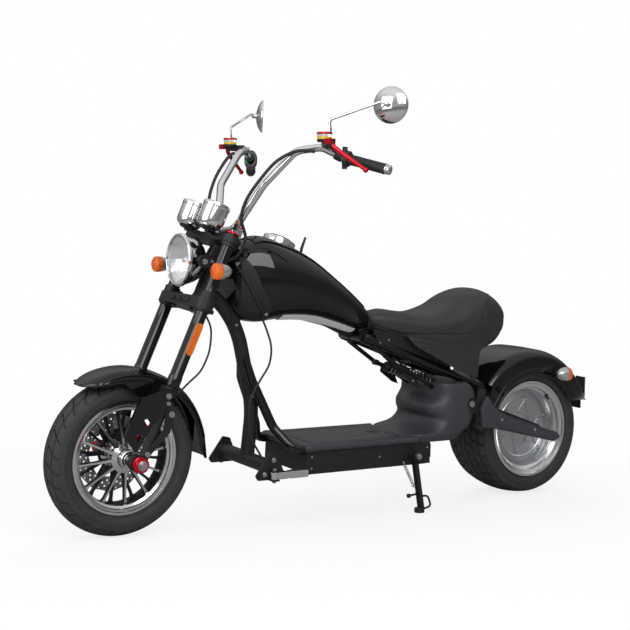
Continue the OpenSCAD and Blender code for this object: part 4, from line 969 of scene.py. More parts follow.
bm = bmesh.new()
for s in both:
    rows = [head + Vector((x, s * y, z)) for x, y, z in ((-206, 252, 384), (-168, 208, 384),
                                                         (-120, 172, 352), (-74, 150, 292),
                                                        (-42, 124, 226), (-36, 106, 166))]
    rows += [on_steering(u, s * y, w) for u, y, w in ((-14, 100, 118), (-12, 98, 62), (4, 78, 34),
                                                      (26, 44, 20), (43, 20, 14))]
    line = curve(rows, 26)
    tube(bm, line, [11.2 if k % 3 else 9.4 for k in range(len(line))], 16)
part("bar_looms", bm, upright, rubber, "front_end", "cable_looms", sharp=20)
bm = bmesh.new()
tube(bm, curve([on_steering(*p) for p in ((10, 80, -146.1), (-28, 80, -180), (-50, 80, -236),
                                          (-52, 82, -280), (-44, 86, -317),
                                           (-20, 94, -355), (4, 104, -392), (30.3, 114.5, -424))], 12), 6.2,
     16)
part("front_brake_hose", bm, upright, rubber, "front_end", "front_hose")

# Tank cover
# A large gloss black moulded cover, wide behind the fork and tapering to the seat, with a raised
# panel along its top.
# Satin panels fill its front corners, an aluminium strip trims its lower rear edge, and a dark cap
# closes its tail.
def section(row, n, grow=0.0, low=0.0, high=360.0, closed=True):
    """Points round a section: row is x, half width, bottom, top, roundness and, last, that of the lower half."""
    x, half, bottom, top = row[:4]
    out = []
    for k in range(n if closed else n + 1):
        a = radians(low + (high - low) * (k + (0.5 if closed else 0)) / n)
        c, s = cos(a), sin(a)
        roundness = row[-1] if s < 0 else row[4]
        out.append((x, (half + grow) * copysign(abs(c) ** (2 / roundness), c),
                    (bottom + top) / 2 + ((top - bottom) / 2 + grow) * copysign(abs(s) ** (2 / roundness),
                                                                                s)))
    return out


def skin(bm, rows, n, low, high, inner, outer, mirror=1):
    """A shell on sections, between the angles low and high, each given at the first and the last row."""
    rings = []
    for k, row in enumerate(rows):
        t = k / (len(rows) - 1)
        a, b = low[0] + (low[1] - low[0]) * t, high[0] + (high[1] - high[0]) * t
        ring = section(row, n, outer, a, b, False) + section(row, n, inner, a, b, False)[::-1]
        rings.append([(x, mirror * y, z) for x, y, z in ring])
    loft(bm, rings)


tank_rows = [(head.x + x, share * 140, head.z + low, head.z + high, roundness) for x, share, low, high,
             roundness in (
    (-53, 0.44, -110, 38, 3.2), (-85, 0.60, -152, 80, 2.8), (-145, 0.82, -166, 108, 2.4),
                           (-225, 0.97, -158, 93, 2.3),
    (-325, 1.00, -160, 50, 2.3), (-425, 0.86, -180, -15, 2.4), (-515, 0.60, -202, -75, 2.5),
                           (-585, 0.34, -202, -128, 2.8))]
tank_line = curve(tank_rows, 9)
bm = bmesh.new()
loft(bm, [section(r, 96) for r in tank_line])
part("tank_shell", bm, upright, gloss, "chassis", "tank", sharp=50)
bm = bmesh.new()
skin(bm, tank_line[14:61], 28, (62, 50), (118, 130), 0.4, 4.0)
part("tank_top_panel", bm, upright, gloss, "chassis", sharp=40, bevel=0.0016)
bm = bmesh.new()
for mirror in (1, -1):
    skin(bm, tank_line[4:21], 18, (-62, -66), (52, -30), 0.6, 5.0, mirror)
part("tank_front_panels", bm, upright, satin, "chassis", "tank_side_panels", sharp=40, bevel=0.001)
bm = bmesh.new()
for mirror in (1, -1):
    skin(bm, tank_line[26:55], 8, (-74, -74), (-54, -46), 0.6, 4.2, mirror)
part("tank_trim_strips", bm, upright, trim, "chassis", "tank_strip", sharp=40, bevel=0.0008)
bm = bmesh.new()
loft(bm, [section(r, 48, 1.0) for r in curve([(708, 54, 596, 668, 3), (700, 52, 592, 667, 2.8),
                                              (693, 47, 594, 662, 2.6),
                                              (687, 36, 600, 652, 2.4), (684, 20, 610, 640, 2.2)], 4)])
part("tank_tail_cap", bm, upright, plastic, "chassis", sharp=50)
lid = upright @ Matrix.Translation((1040, 0, 900)) @ Matrix.Rotation(-radians(22), 4, "Y")
bm = bmesh.new()
turned(bm, [(0, -23), (54, -23), (55, -22), (55, -2), (54.4, 1), (52, 2.6), (46, 3.4), (42, 2.2), (40, 1),
            (0, 1)], (0, 0, 0),
       up_axis, 96)
part("filler_ring", bm, lid, chrome, "chassis", "tank_lid", sharp=30)
bm = bmesh.new()
turned(bm, [(0, 1.2), (38.6, 1.2), (39, 2.4), (39, 6), (37, 8.2), (30, 9), (28, 7.6), (0, 7.2)], (0, 0, 0),
       up_axis, 72)
box(bm, (-30, -4, 7), (30, 4, 10.6))
part("filler_cap", bm, lid, plastic, "chassis", sharp=30, bevel=0.0008)
bm = bmesh.new()
for s in both:
    bolt(bm, (1150, s * 116, 668), (0.25, s, -0.45), 9, 4)
part("tank_screws", bm, upright, steel, "chassis")
bm = bmesh.new()
tube(bm, [(956, 0, 858), (954, 0, 872), (941, 0, 908)], [9, 10, 8], 20)
bmesh.ops.create_uvsphere(bm, u_segments=16, v_segments=10, radius=4.2,
                          matrix=Matrix.Translation((941, 0, 908)))
part("tank_aerial", bm, upright, rubber, "chassis")

# Seat
# A foam seat with a low nose, a deep dip and a high rounded back, covered in black leather.
# The cover is swelled by a cloth pass and then gets a welt along the hump's side and down to its
# lower edge.
seat_rows = [(694, 0.26, 622, 664, 2.4), (650, 0.50, 601, 673, 2.6), (560, 0.74, 577, 661, 2.8),
             (470, 0.90, 555, 657, 2.8),
             (380, 0.98, 535, 682, 2.7), (310, 1.00, 528, 722, 2.6), (245, 0.98, 532, 744, 2.4),
             (185, 0.88, 554, 734, 2.3),
             (135, 0.66, 592, 704, 2.2), (104, 0.38, 622, 668, 2.2)]
seat_line = curve([(x, share * 145, low, high, roundness, 6) for x, share, low, high,
                   roundness in seat_rows], 6)
bm = bmesh.new()
loft(bm, [section(r, 72, -3.0) for r in seat_line])
cover = part("seat_cover", bm, upright, leather, "chassis", "seat", sharp=80)
flat = cover.modifiers.new("voxels", "REMESH")
flat.mode = "VOXEL"
flat.voxel_size = 0.0055
flat.use_smooth_shade = True
bake(cover)
swell_frames, swell_limit = 20, 0.006
start = [v.co.copy() for v in cover.data.vertices]
swell = cover.modifiers.new("swell", "CLOTH")
swell.settings.use_pressure = True
swell.settings.uniform_pressure_force = 4
swell.settings.effector_weights.gravity = 0
swell.point_cache.frame_start, swell.point_cache.frame_end = 1, swell_frames
for frame_number in range(1, swell_frames + 1):
    bpy.context.scene.frame_set(frame_number)
bake(cover)
bpy.context.scene.frame_set(1)
for v, at in zip(cover.data.vertices, start):
    move = v.co - at
    if move.length > swell_limit:
        v.co = at + move * (swell_limit / move.length)
cover.data.shade_smooth()
surface = cover.modifiers.new("surface", "SUBSURF")
surface.levels = surface.render_levels = 1
# columns: z, rear x, front x of a flap
flap_steps = 24
flap_rows = curve([(592, 214, 576), (575, 236, 566), (560, 250, 552), (549, 262, 538), (535, 276, 512),
                   (522, 284, 486),
                   (505, 286.5, 452), (488, 287.5, 420), (470, 288, 382), (455, 289, 346), (444, 291, 318),
                   (440, 296, 305)], 4)


def seat_side(x, z):
    """Half width of the seat at a height, or its greatest at None."""
    near = min(range(len(seat_line) - 1), key=lambda i: abs(seat_line[i][0] - x))
    _, half, low, high, roundness, boxy = seat_line[near]
    q = 0 if z is None else (z - (low + high) / 2) / ((high - low) / 2)
    power = roundness if q > 0 else boxy
    return half * max(0.0, 1 - min(1.0, abs(q)) ** power) ** (1 / power)


bm = bmesh.new()
for s in both:
    grid = []
    for z, rear, front in flap_rows:
        line = [rear + (front - rear) * k / flap_steps for k in range(flap_steps + 1)]
        grid.append([bm.verts.new((x, s * max(seat_side(x, z) - 0.8, 0.962 * seat_side(x, None)),
                                   z)) for x in line])
    for a, b in zip(grid, grid[1:]):
        for k in range(flap_steps):
            bm.faces.new((a[k], a[k + 1], b[k + 1], b[k])[::s])
bmesh.ops.recalc_face_normals(bm, faces=bm.faces)
bmesh.ops.solidify(bm, geom=bm.faces[:], thickness=4.0)
part("seat_flaps", bm, upright, leather, "chassis", sharp=50)
bm = bmesh.new()
for s in both:
    seam = curve([(200, 728), (222, 712), (246, 690), (266, 663), (281, 634), (306, 610), (339, 587),
                  (372, 568), (402, 556)], 4)
    tube(bm, [(x, s * (seat_side(x, z) + 0.5), z) for x, z in seam], 2.6, 10)
    edge = [section(r, 1, 1.0, -40, -40, False)[0] for r in seat_line[3:24]]
    tube(bm, [(x, s * y, z) for x, y, z in edge], 3.6, 10)
part("seat_welts", bm, upright, leather, "chassis")

# Frame
# One thick tube runs down from the head, another back under the tank, and a cross tube at the foot
# ties the side plates.
# The plates carry the peg lugs, and a gusset stiffens the down tube where the deck's tubes leave it.
foot = Vector((1132, 0, 196))
peg_hinge = {s: foot + Vector((-2, s * 171, -22)) for s in both}


def plate(bm, outline, y0, y1, r=6.0):
    """A pair of flat plates with rounded corners, from y0 to y1 out from the middle."""
    points = [Vector((x, 0, z)) for x, z in outline]
    start = (points[0] + points[-1]) / 2
    line = rounded([start] + points + [start], r)[:-1]
    for s in both:
        slab(bm, [(p.x, p.z) for p in line], s * y0, s * y1)


bm = bmesh.new()
tube(bm, rounded([head + Vector((10, 0, -70)), foot + Vector((62, 0, 444)), foot + Vector((-12, 0, 164)),
                  foot], 300, 3), 46, 40)
tube(bm, rounded([head + Vector((-10, 0, 10)), head + Vector((-385, 0, -140)), Vector((740, 0, 590))], 60,
                 4), 44, 32)
drum(bm, foot + Vector((0, -149, 0)), foot + Vector((0, 149, 0)), 46)
for s in both:
    drum(bm, foot + Vector((0, s * 140, 0)), foot + Vector((0, s * 149, 0)), 50, 54)
    for z in (-16.5, 11.5):
        box(bm, peg_hinge[s] + Vector((-13, -15, z)), peg_hinge[s] + Vector((13, 13, z + 5)))
part("frame_tubes", bm, upright, satin, "chassis", "frame", bevel=0.0006)
bm = bmesh.new()
plate(bm, [(x + foot.x, z + foot.z) for x, z in ((-56, -38), (46, -38), (56, -24), (6, 46), (-20, 40))], 149,
      156.5, 7)
plate(bm, [(1118, 360), (1146, 470), (1136, 474), (1100, 372)], 20, 26, 4)
plate(bm, [(1232, 690), (1222, 640), (1196, 604), (1186, 620), (1206, 690)], 21, 27, 5)
part("frame_plates", bm, upright, satin, "chassis", bevel=0.0008)
bm = bmesh.new()
for s in both:
    for x, z, y, d in ((-30, -20, 156.5, 12), (26, -20, 156.5, 12), (-6, 22, 156.5, 12), (-2, 200, 26, 10),
                       (74, 430, 27, 7)):
        bolt(bm, foot + Vector((x, s * y, z)), (0, s, 0), d, 6)
    bolt(bm, peg_hinge[s] + Vector((0, 0, 16.5)), up_axis, 13, 6)
    bolt(bm, peg_hinge[s] + Vector((0, 0, -16.5)), (0, 0, -1), 13, 6)
part("frame_bolts", bm, upright, steel, "chassis")

# Head tube
# A thick tube with a bearing cup pressed into each end.
bm = bmesh.new()
turned(bm, [(15.2, -104), (28, -104), (32, -103), (32, -92), (30, -90), (30, 58), (32, 60), (32, 71),
            (28, 72), (15.2, 72)],
       (0, 0, 0), up_axis, 64)
part("head_tube_body", bm, steered, satin, "chassis", "head_tube")

# Deck tubes
# Two bent tubes leave the down tube's lower part and spread to the deck's front corners.
bm = bmesh.new()
for s in both:
    line = rounded([(1170, s * 4, 556), (1146, s * 34, 452), (1072, s * 56, 300), (1029, s * 118, 235),
                    (985.3, s * 118, 235)], 60, 4)
    tube(bm, line, [24] + [30] * (len(line) - 1), 32)
part("deck_tubes", bm, upright, gloss, "chassis", "deck_loops")

# Seat rails
# Polished black tubes run under the seat from a cross tube down to the fender, with thicker sleeves
# at their ends.
# A flat band closes the gap below the seat, and thinner braces run below the rails.
bm = bmesh.new()
for s in both:
    line = rounded([(738, s * 62, 582), (560, s * 74, 520), (226.7, s * 92, 397.6)], 60, 3)
    tube(bm, line, 30, 36)
    for at, to in ((line[0], line[1]), (line[-1], line[-2])):
        way = (to - at).normalized()
        turned(bm, [(14, -1), (17, 0), (18, 2), (18, 44), (17, 46), (14.5, 47)], at + way * 6, way, 40)
    drum(bm, (612, s * 62, 530), (600, s * 46, 640), 18)
tube(bm, [(738, -62, 582), (738, 62, 582)], 28, 32)
tube(bm, [(226.7, -92, 403.6), (226.7, 92, 403.6)], 20, 28)
tube(bm, [(470, -74, 486), (470, 74, 486)], 18, 28)
part("rail_tubes", bm, upright, gloss, "chassis", "seat_rails")
bm = bmesh.new()
band = [(708, 610), (680, 562), (560, 520), (366, 456), (362, 488), (440, 530), (480, 575), (650, 600)]
plate(bm, band, 74, 80, 8)
for s in both:
    tube(bm, [(x, s * 80, z) for x, z in ((684, 563), (560, 521), (366, 457))], 4.5, 12)
part("rail_bands", bm, upright, satin, "chassis", bevel=0.001)
bm = bmesh.new()
for s in both:
    tube(bm, rounded([(702, s * 70, 556), (594, s * 70, 485), (505, s * 70, 442), (436, s * 70, 404)], 60,
                     4), 15, 24)
    slab(bm, [(560, 470), (535, 452), (500, 430), (486, 400), (512, 408), (566, 446)], s * 62, s * 66)
part("rail_braces", bm, upright, gloss, "chassis", bevel=0.0006)
bm = bmesh.new()
side_bolts(bm, [(640, 80, 572, 8, 3), (430, 80, 500, 8, 3)])
side_bolts(bm, [(520, 66, 428, 7, 4)], True)
for s in both:
    bolt(bm, (676, s * 78, 563), (0.3, s, 0), 8, 4, False)
part("rail_screws", bm, upright, steel, "chassis")

# Shock absorbers
# Each has a dark damper in a bright coil spring, between the rails and the cover.
def coil(bm, a, b, r, wire, turns, sides=10):
    a, b = Vector(a), Vector(b)
    way = (b - a).normalized()
    across = way.orthogonal().normalized()
    other = way.cross(across)
    n = int(turns * 20)
    angles = [2 * pi * turns * k / n for k in range(n + 1)]
    tube(bm, [a.lerp(b, k / n) + r * (across * cos(q) + other * sin(q)) for k, q in enumerate(angles)],
         wire, sides)


bm = bmesh.new()
for s in both:
    a, b, c = Vector((604, s * 40, 482)), Vector((560, s * 40, 466)), Vector((420, s * 40, 418))
    drum(bm, a, c, 14)
    drum(bm, b, b.lerp(c, 0.06), 36)
    drum(bm, b.lerp(c, 0.55), c, 26)
    drum(bm, a + Vector((0, -10, 0)), a + Vector((0, 10, 0)), 20)
part("shock_dampers", bm, upright, satin, "chassis")
bm = bmesh.new()
for s in both:
    coil(bm, Vector((552, s * 40, 463)), Vector((430, s * 40, 421)), 15.5, 5.6, 8)
part("shock_springs", bm, upright, steel, "chassis", "rear_shocks")

# Wires under the seat
# Black wires with connectors gather between the rails and the rear cover.
bm = bmesh.new()
for s, points in ((1, ((560, 58, 500), (520, 50, 452), (486, 62, 438), (448, 50, 440), (410, 56, 424))),
                  (1, ((600, 50, 512), (548, 62, 474), (500, 56, 466), (462, 64, 452), (430, 50, 420))),
                  (-1, ((560, 58, 500), (516, 44, 460), (480, 60, 430), (440, 50, 426)))):
    tube(bm, curve([(x, s * y, z) for x, y, z in points], 8), 6, 12)
box(bm, (478, 44, 436), (506, 60, 450))
box(bm, (440, 56, 436), (462, 70, 450))
part("seat_wires", bm, upright, plastic, "chassis", bevel=0.001)

# Deck
# A moulded foot board with a rolled lip along both sides and its front, and a narrow groove round the
# raised field.
# A filler cap lies in a shallow dimple near its rear.
def deck_ring(x, tall):
    out = [(x, y, 241 + (z - 241) * tall) for y, z in ((-124, 232), (124, 232))]
    out += [(x, 134 + 12 * cos(a), 241 + 12 * tall * sin(a)) for a in
            [radians(-131 + 262 * k / 20) for k in range(21)]]
    out += [(x, y, 241 + (z - 241) * tall) for y, z in ((122, 250), (-122, 250))]
    return out + [(x, -134 - 12 * cos(a), 241 + 12 * tall * sin(a)) for a in
                  [radians(131 - 262 * k / 20) for k in range(21)]]


bm = bmesh.new()
loft(bm, [deck_ring(x, tall) for x, tall in ((548, 1), (600, 1), (962, 1), (972, 1.12), (982, 1.2),
                                             (990, 1.1), (995, 0.8), (997, 0.4))])
cap_x = 637.3
board = part("deck_board", bm, upright, moulded, "chassis", "deck", sharp=40)
bm = bmesh.new()
groove = [[Vector(p) for p in ((600 + g, -109 + g, 0), (955 - g, -109 + g, 0), (955 - g, 109 - g, 0),
                               (600 + g, 109 - g, 0))]
          for g in (0, 5)]
rings = []
for ring, r in zip(groove, (14, 9)):
    start = (ring[0] + ring[-1]) / 2
    rings.append(rounded([start] + ring + [start], r, 15)[:-1])
loops = []
for z in (247.6, 254):
    for ring in rings:
        verts = [bm.verts.new((p.x, p.y, z)) for p in ring]
        loops.append([bm.edges.new(pair) for pair in zip(verts, verts[1:] + verts[:1])])
for a, b in ((0, 1), (1, 3), (3, 2), (2, 0)):
    bmesh.ops.bridge_loops(bm, edges=loops[a] + loops[b])
bmesh.ops.recalc_face_normals(bm, faces=bm.faces)
drum(bm, (cap_x, 0, 246), (cap_x, 0, 256), 44, 46, 48)
cut_away(board, bm, upright)
bm = bmesh.new()
turned(bm, [(0, 245.6), (17, 245.6), (18, 246.4), (18, 248.6), (16.6, 249.6), (0, 249.8)], (cap_x, 0, 0),
       up_axis, 48)
box(bm, (634.8, -13, 249), (639.8, 13, 251.4))
part("deck_cap", bm, upright, plastic, "chassis", bevel=0.0006)

# Beam under the deck
# The battery's box is the scooter's backbone: black sheet steel with a turned-in lower edge and a
# screwed floor.
bm = bmesh.new()
box(bm, (486, -132, 158), (985, 132, 228.7))
box(bm, (480, -128, 176), (487, 128, 222))
box(bm, (500, -126, 155.4), (975, 126, 158.2))
for s in both:
    box(bm, (486, s * 128, 158), (985, s * 134, 163))
    drum(bm, (560, s * 130, 190), (560, s * 146, 190), 40)
drum(bm, (560, 140, 190), (560, 168, 190), 12)
part("battery_case", bm, upright, satin, "chassis", "battery_box", bevel=0.0014)
bm = bmesh.new()
for s in both:
    for x in (520, 640, 760, 880, 965):
        bolt(bm, (x, s * 112, 155.4), (0, 0, -1), 8, 3, False)
side_bolts(bm, [(x, 132, z, 7, 1.6) for x, z in ((968, 176), (968, 212), (700, 194), (500, 212))])
part("battery_screws", bm, upright, steel, "chassis")

# Rear cover
# The moulded cover over the controller: its front is folded across into soft flutes and flares down
# into the deck.
# The folds run out into the smooth side panels, each held by a screw.
cover_rows = [(229, 330, 574, 0.94), (250, 306, 574.6, 1.0), (256, 300, 556, 1.0), (263, 294, 516, 1.0),
              (276, 284, 482, 1.01),
              (300, 272, 462, 1.02), (322, 265, 476, 1.02), (344, 262, 478, 1.01), (360, 262, 462, 1.0),
              (378, 264, 440, 0.99),
              (398, 272, 437, 0.97), (414, 288, 438, 0.94), (421, 302, 432, 0.90), (423.4, 316, 418, 0.84)]
bm = bmesh.new()
rings = []
for z, rear, front, share in curve(cover_rows, 7):
    ring = []
    for k in range(128):
        a = 2 * pi * (k + 0.5) / 128
        c, sn = cos(a), sin(a)
        fold = (462 - front) * 0.55 * max(0.0, 1 - abs(c) ** 3) if z > 290 and c > 0 else 0.0
        ring.append(((rear + front) / 2 + (front - rear) / 2 * copysign(abs(c) ** 0.62, c) + fold,
                     share * 144 * copysign(abs(sn) ** 0.62, sn), z))
    rings.append(ring)
loft(bm, rings)
part("cover_shell", bm, upright, moulded, "chassis", "rear_cover", sharp=60)
bm = bmesh.new()
side_bolts(bm, [(318, 146.4, 356, 9, 2.4)])
part("cover_screws", bm, upright, steel, "chassis")
bm = bmesh.new()
plate(bm, [(250, 396), (280, 400), (292, 350), (288, 268), (262, 252), (244, 268), (262, 300), (264, 350)],
      126, 142, 5)
part("cover_back_panels", bm, upright, plastic, "chassis", bevel=0.0012)

# Rear brake hose
# It comes from behind the left signal over the tank's front panel and hangs in a loop before it
# reaches the frame's foot.
bm = bmesh.new()
hose = [on_steering(-34, 84, 30), (1214, 92, 776), (1190, 104, 730), (1166, 106, 690), (1150, 98, 668),
        (1146, 84, 655.8),
        (1128, 90, 610), (1112, 92, 560), (1118, 92, 505), (1150, 92, 455), (1180, 92, 400), (1184, 92, 340),
        (1172, 92, 280),
        (1134.6, 92, 220.8)]
tube(bm, curve(hose, 10), 6.6, 16)
part("rear_brake_hose", bm, upright, rubber, "chassis", "rear_hose")

# Rear fender
# A gloss black pressed fender with rounded shoulders, a rib and a rolled edge round the wheel, and a
# tail drawn to a tip.
def arch(bm, rows, t, corner=(32, 50), n=9):
    """A fender's shell: rows of angle, outer radius, half width and radius of the lower edges."""
    rings = []
    for angle, r, half, low in rows:
        a = radians(angle)
        tall, wide = min(corner[0], r - low), min(corner[1], 0.8 * half)
        full = []
        for g, order in ((0, 1), (t, -1)):
            side = [(low, half - g), (r - tall, half - g)]
            side += [(r - tall + max(0, tall - g) * sin(q), half - wide + (wide - g) * cos(q))
                     for q in [pi / 2 * k / n for k in range(1, n + 1)]]
            side = side + [(r + 1.5 - g, 0)] + [(p, -y) for p, y in side[::-1]]
            full += side[::order]
        rings.append([Vector((p * cos(a), y, p * sin(a))) for p, y in full])
    loft(bm, rings)
    bmesh.ops.remove_doubles(bm, verts=bm.verts, dist=0.02)


def wheel_arc(bm, r, y, d, first, last, steps=60):
    """A rib that follows the wheel on both sides; r is a radius or a function of the angle."""
    for s in both:
        line = []
        for k in range(steps + 1):
            angle = first + (last - first) * k / steps
            q = r(angle) if callable(r) else r
            line.append((q * cos(radians(angle)), s * y, q * sin(radians(angle))))
        tube(bm, line, d, 12)


tail = [(150 + 2 * k, 286 + 68 * (k / 8.5) ** 1.7, 127 - 80 * (k / 8.5) ** 2,
         196 + 150 * (k / 8.5) ** 1.4) for k in range(1, 9)]
bm = bmesh.new()
arch(bm, [(38, 286, 127, 196)] + [(a, 286, 127, 196) for a in range(42, 151, 4)] + tail + [(167, 355, 46,
                                                                                            345)], 3.4)
for s in both:
    rings = []
    for angle in range(14, 43, 4):
        a = radians(angle)
        top = 236 + (angle - 14) * 1.1
        rings.append([Vector((p * cos(a), s * y, p * sin(a))) for p,
                      y in ((196, 127), (top, 127), (top, 123.4), (196, 123.4))])
    loft(bm, rings)
part("fender_shell", bm, rear_wheel, gloss, "chassis", "rear_fender", sharp=40)
bm = bmesh.new()
wheel_arc(bm, 218, 126.2, 6, 16, 150)
wheel_arc(bm, 197.5, 125.5, 7, 14, 150)
part("fender_ribs", bm, rear_wheel, gloss, "chassis", sharp=60)
bm = bmesh.new()
side_bolts(bm, [(250 * cos(a), 127, 250 * sin(a), 11, 3) for a in (radians(60), radians(118))])
part("fender_screws", bm, rear_wheel, satin, "chassis")

# Tail lamp, plate holder and mudflap
# A red lamp in a black housing stands on the fender's tail, and the plate's bracket with two holes is
# below it.
# A ribbed rubber flap hangs inside the tail.
tail_frame = rear_wheel @ Matrix.Rotation(-radians(60), 4, "Y")
bm = bmesh.new()
box(bm, (0, -42, 286.3), (44, 42, 297))
box(bm, (30, -40, 296), (44, 40, 307))
part("tail_lamp_housing", bm, tail_frame, plastic, "chassis", bevel=0.003)
bm = bmesh.new()
box(bm, (1.5, -38, 295), (31, 38, 307))
part("tail_lamp_lens", bm, tail_frame, Finish("red_lens", (0.35, 0.004, 0.006), "lens", Roughness=0.1,
                                              Coat_Weight=1.0), "chassis", bevel=0.005)
bm = bmesh.new()
box(bm, (-352, -24, 326), (-347, 24, 402))
box(bm, (-348, -22, 352), (-262, 22, 362))
part("plate_bracket", bm, upright, plastic, "chassis", "plate_holder", bevel=0.001)
bm = bmesh.new()
for s in both:
    for z in (338, 392):
        bolt(bm, (-352, s * 12, z), back, 8, 3, False)
part("plate_screws", bm, upright, steel, "chassis")
bm = bmesh.new()
box(bm, (-312, -42, 288), (-307, 42, 332))
for k in range(7):
    box(bm, (-315, -40 + 12.5 * k, 290), (-311, -35 + 12.5 * k, 330))
part("mudflap", bm, upright, rubber, "chassis", bevel=0.0008, slot="black_plastic")

# Rear turn signals
# Silver bullets that taper forward, each with an amber lens facing back and a ribbed black stem.
rear_signal = {s: Vector((-101, s * 168, 441)) for s in both}
bm = bmesh.new()
for s in both:
    turned(bm, [(0, 36), (6, 35), (13, 30.5), (19, 22), (23, 11), (24.8, 2), (24.8, 0), (0, 0)],
           rear_signal[s], ahead, 56)
part("rear_signal_bodies", bm, upright, silver, "chassis")
bm = bmesh.new()
for s in both:
    turned(bm, [(0, 0.3), (24.6, 0.3), (25.2, 2), (25.2, 13), (23.6, 17.6), (18, 20.8), (0, 22)],
           rear_signal[s], back, 56)
part("rear_signal_lenses", bm, upright, amber, "chassis", "rear_lamps")
bm = bmesh.new()
for s in both:
    drum(bm, rear_signal[s] + Vector((8, -s * 40.5, 0)), rear_signal[s] + Vector((8, -s * 14, 0)), 13)
    for k in range(4):
        turned(bm, [(6.4, -1.6), (8.6, -1.2), (8.6, 1.2), (6.4, 1.6)],
               rear_signal[s] + Vector((8, -s * (24 + 4.6 * k), 0)), (0, 1, 0), 32)
part("rear_signal_stems", bm, upright, plastic, "chassis")

# Rear arms
# Flat steel arms run from the pivot tube to the hub motor's axle, with axle blocks and nuts at their ends.
# Moulded covers with a raised field hide their outer sides.
bm = bmesh.new()
plate(bm, [(332, 374), (332, 324), (0, rear_axle_z - 22), (-30, rear_axle_z), (0, rear_axle_z + 22)], 130,
      144, 9)
drum(bm, (320, -144, 350), (320, 144, 350), 34)
for s in both:
    drum(bm, (320, s * 124, 350), (320, s * 130, 350), 42)
part("rear_arms", bm, upright, satin, "chassis", "swingarm", bevel=0.0012)
bm = bmesh.new()
plate(bm, [(258, 380), (283, 332), (276, 268), (238, 264), (196, 256), (-66, 198), (-97, 213), (-82, 230),
           (60, 272), (160, 303),
           (205, 322), (236, 350)], 144.3, 160.5, 6)
part("arm_cover_plates", bm, upright, moulded, "chassis", "arm_covers", bevel=0.0035)
bm = bmesh.new()
plate(bm, [(222, 292), (198, 312), (160, 296), (60, 265), (-76, 224), (-84, 214), (-62, 205), (190, 261),
           (206, 270)], 158, 163.6, 3)
part("arm_cover_fields", bm, upright, moulded, "chassis", bevel=0.0022)
bm = bmesh.new()
side_bolts(bm, [(194, 162.6, 292, 11, 3), (36, 162.6, 248, 11, 3)])
part("arm_screws", bm, upright, steel, "chassis")
bm = bmesh.new()
drum(bm, (0, -144, rear_axle_z), (0, 144, rear_axle_z), 16)
for s in both:
    turned(bm, [(8, 116), (14, 116), (15, 117), (15, 128), (14, 129.7), (8, 129.7)], (0, 0, rear_axle_z),
           (0, s, 0), 48)
    drum(bm, (320, s * 144, 350), (320, s * 150, 350), 24, 24, 6)
part("rear_axle_parts", bm, upright, steel, "chassis", "rear_axle", bevel=0.0004)
bm = bmesh.new()
z = rear_axle_z
box(bm, (76, -129.7, z + 20), (132, -99.7, z + 64))
for x in (91, 117):
    drum(bm, (x, -132, z + 42), (x, -128, z + 42), 22, 20, 32)
drum(bm, (104, -114, z + 62), (104, -114, z + 72), 8, 6, 16)
part("rear_caliper_body", bm, upright, red, "chassis", "rear_caliper", bevel=0.0025)

# Fork clamps
# Two black forged plates hold the fork tubes, and the steering stem runs between them through the
# head tube.
bm = bmesh.new()
for low, thick, mid, end in ((-143, 34, 34, 30), (78, 22, 32, 29)):
    verts = [bm.verts.new((cx + r * cos(a), cy + r * sin(a), w)) for w in (low, low + thick)
             for cx, cy, r in ((0, 0, mid), (fork_u, fork_y, end), (fork_u, -fork_y, end))
             for a in [2 * pi * k / 40 for k in range(40)]]
    made = bmesh.ops.convex_hull(bm, input=verts)
    bmesh.ops.delete(bm, geom=[v for v in made["geom_interior"] if isinstance(v, bmesh.types.BMVert)],
                     context="VERTS")
drum(bm, (0, 0, -136), (0, 0, 88), 30)
part("clamp_plates", bm, steered, satin, "front_end", "triple_clamps", sharp=30, bevel=0.002)
bm = bmesh.new()
drum(bm, (0, 0, 100), (0, 0, 110), 34, 32, 6)
turned(bm, [(0, 110), (12, 110), (12, 114), (9, 117), (0, 117.6)], (0, 0, 0), up_axis, 40)
drum(bm, (0, 0, -150), (0, 0, -143), 36, 36, 6)
part("stem_nuts", bm, steered, chrome, "front_end", bevel=0.0008)

# Fork legs
# The lower legs slide in the upper tubes and end in eyes for the axle, with a dust seal where they
# leave the tubes.
axle_u, axle_w = 60.6, -632
bm = bmesh.new()
for s in both:
    turned(bm, [(0, -636), (15, -636), (15, -410), (18, -408), (19.4, -404), (19.4, -394), (17, -392.3),
                (0, -392.3)],
           fork_at[s], up_axis, 48)
    drum(bm, (axle_u, s * (fork_y - 13), axle_w), (axle_u, s * (fork_y + 13), axle_w), 50, 50, 56)
    for w in (-430, -436, -442):
        turned(bm, [(15, w - 1.4), (16.4, w - 1), (16.4, w + 1), (15, w + 1.4)], fork_at[s], up_axis, 40)
part("leg_tubes", bm, steered, satin, "front_end", "fork_legs", bevel=0.0008)

# Fork plates
# Gloss black plates with folded front edges and two round holes cover the legs, and link arms run
# behind them to the axle.
bm = bmesh.new()
plate(bm, [(40, -396), (66, -398), (138, -457), (144, -574), (85, -607), (66, -510), (42, -450)], 137.3,
      142.3, 5)
shields = part("fork_shields", bm, steered, gloss, "front_end", "fork_plates")
bm = bmesh.new()
shield_holes = ((89, -513), (93, -563))
for u, w in shield_holes:
    drum(bm, (u, -160, w), (u, 160, w), 21)
cut_away(shields, bm, steered)
bm = bmesh.new()
plate(bm, [(131, -460), (137, -457), (144, -574), (138, -571)], 138, 151.3, 1)
plate(bm, [(38, -398), (66, -399), (64, -403), (40, -403)], 138, 147, 1)
for s in both:
    for u, w in shield_holes:
        turned(bm, [(10.1, 141), (12.7, 141.6), (12.7, 142.8), (10.9, 143.6), (10.1, 143)], (u, 0, w),
               (0, s, 0), 40)
part("shield_edges", bm, steered, gloss, "front_end", bevel=0.0008)
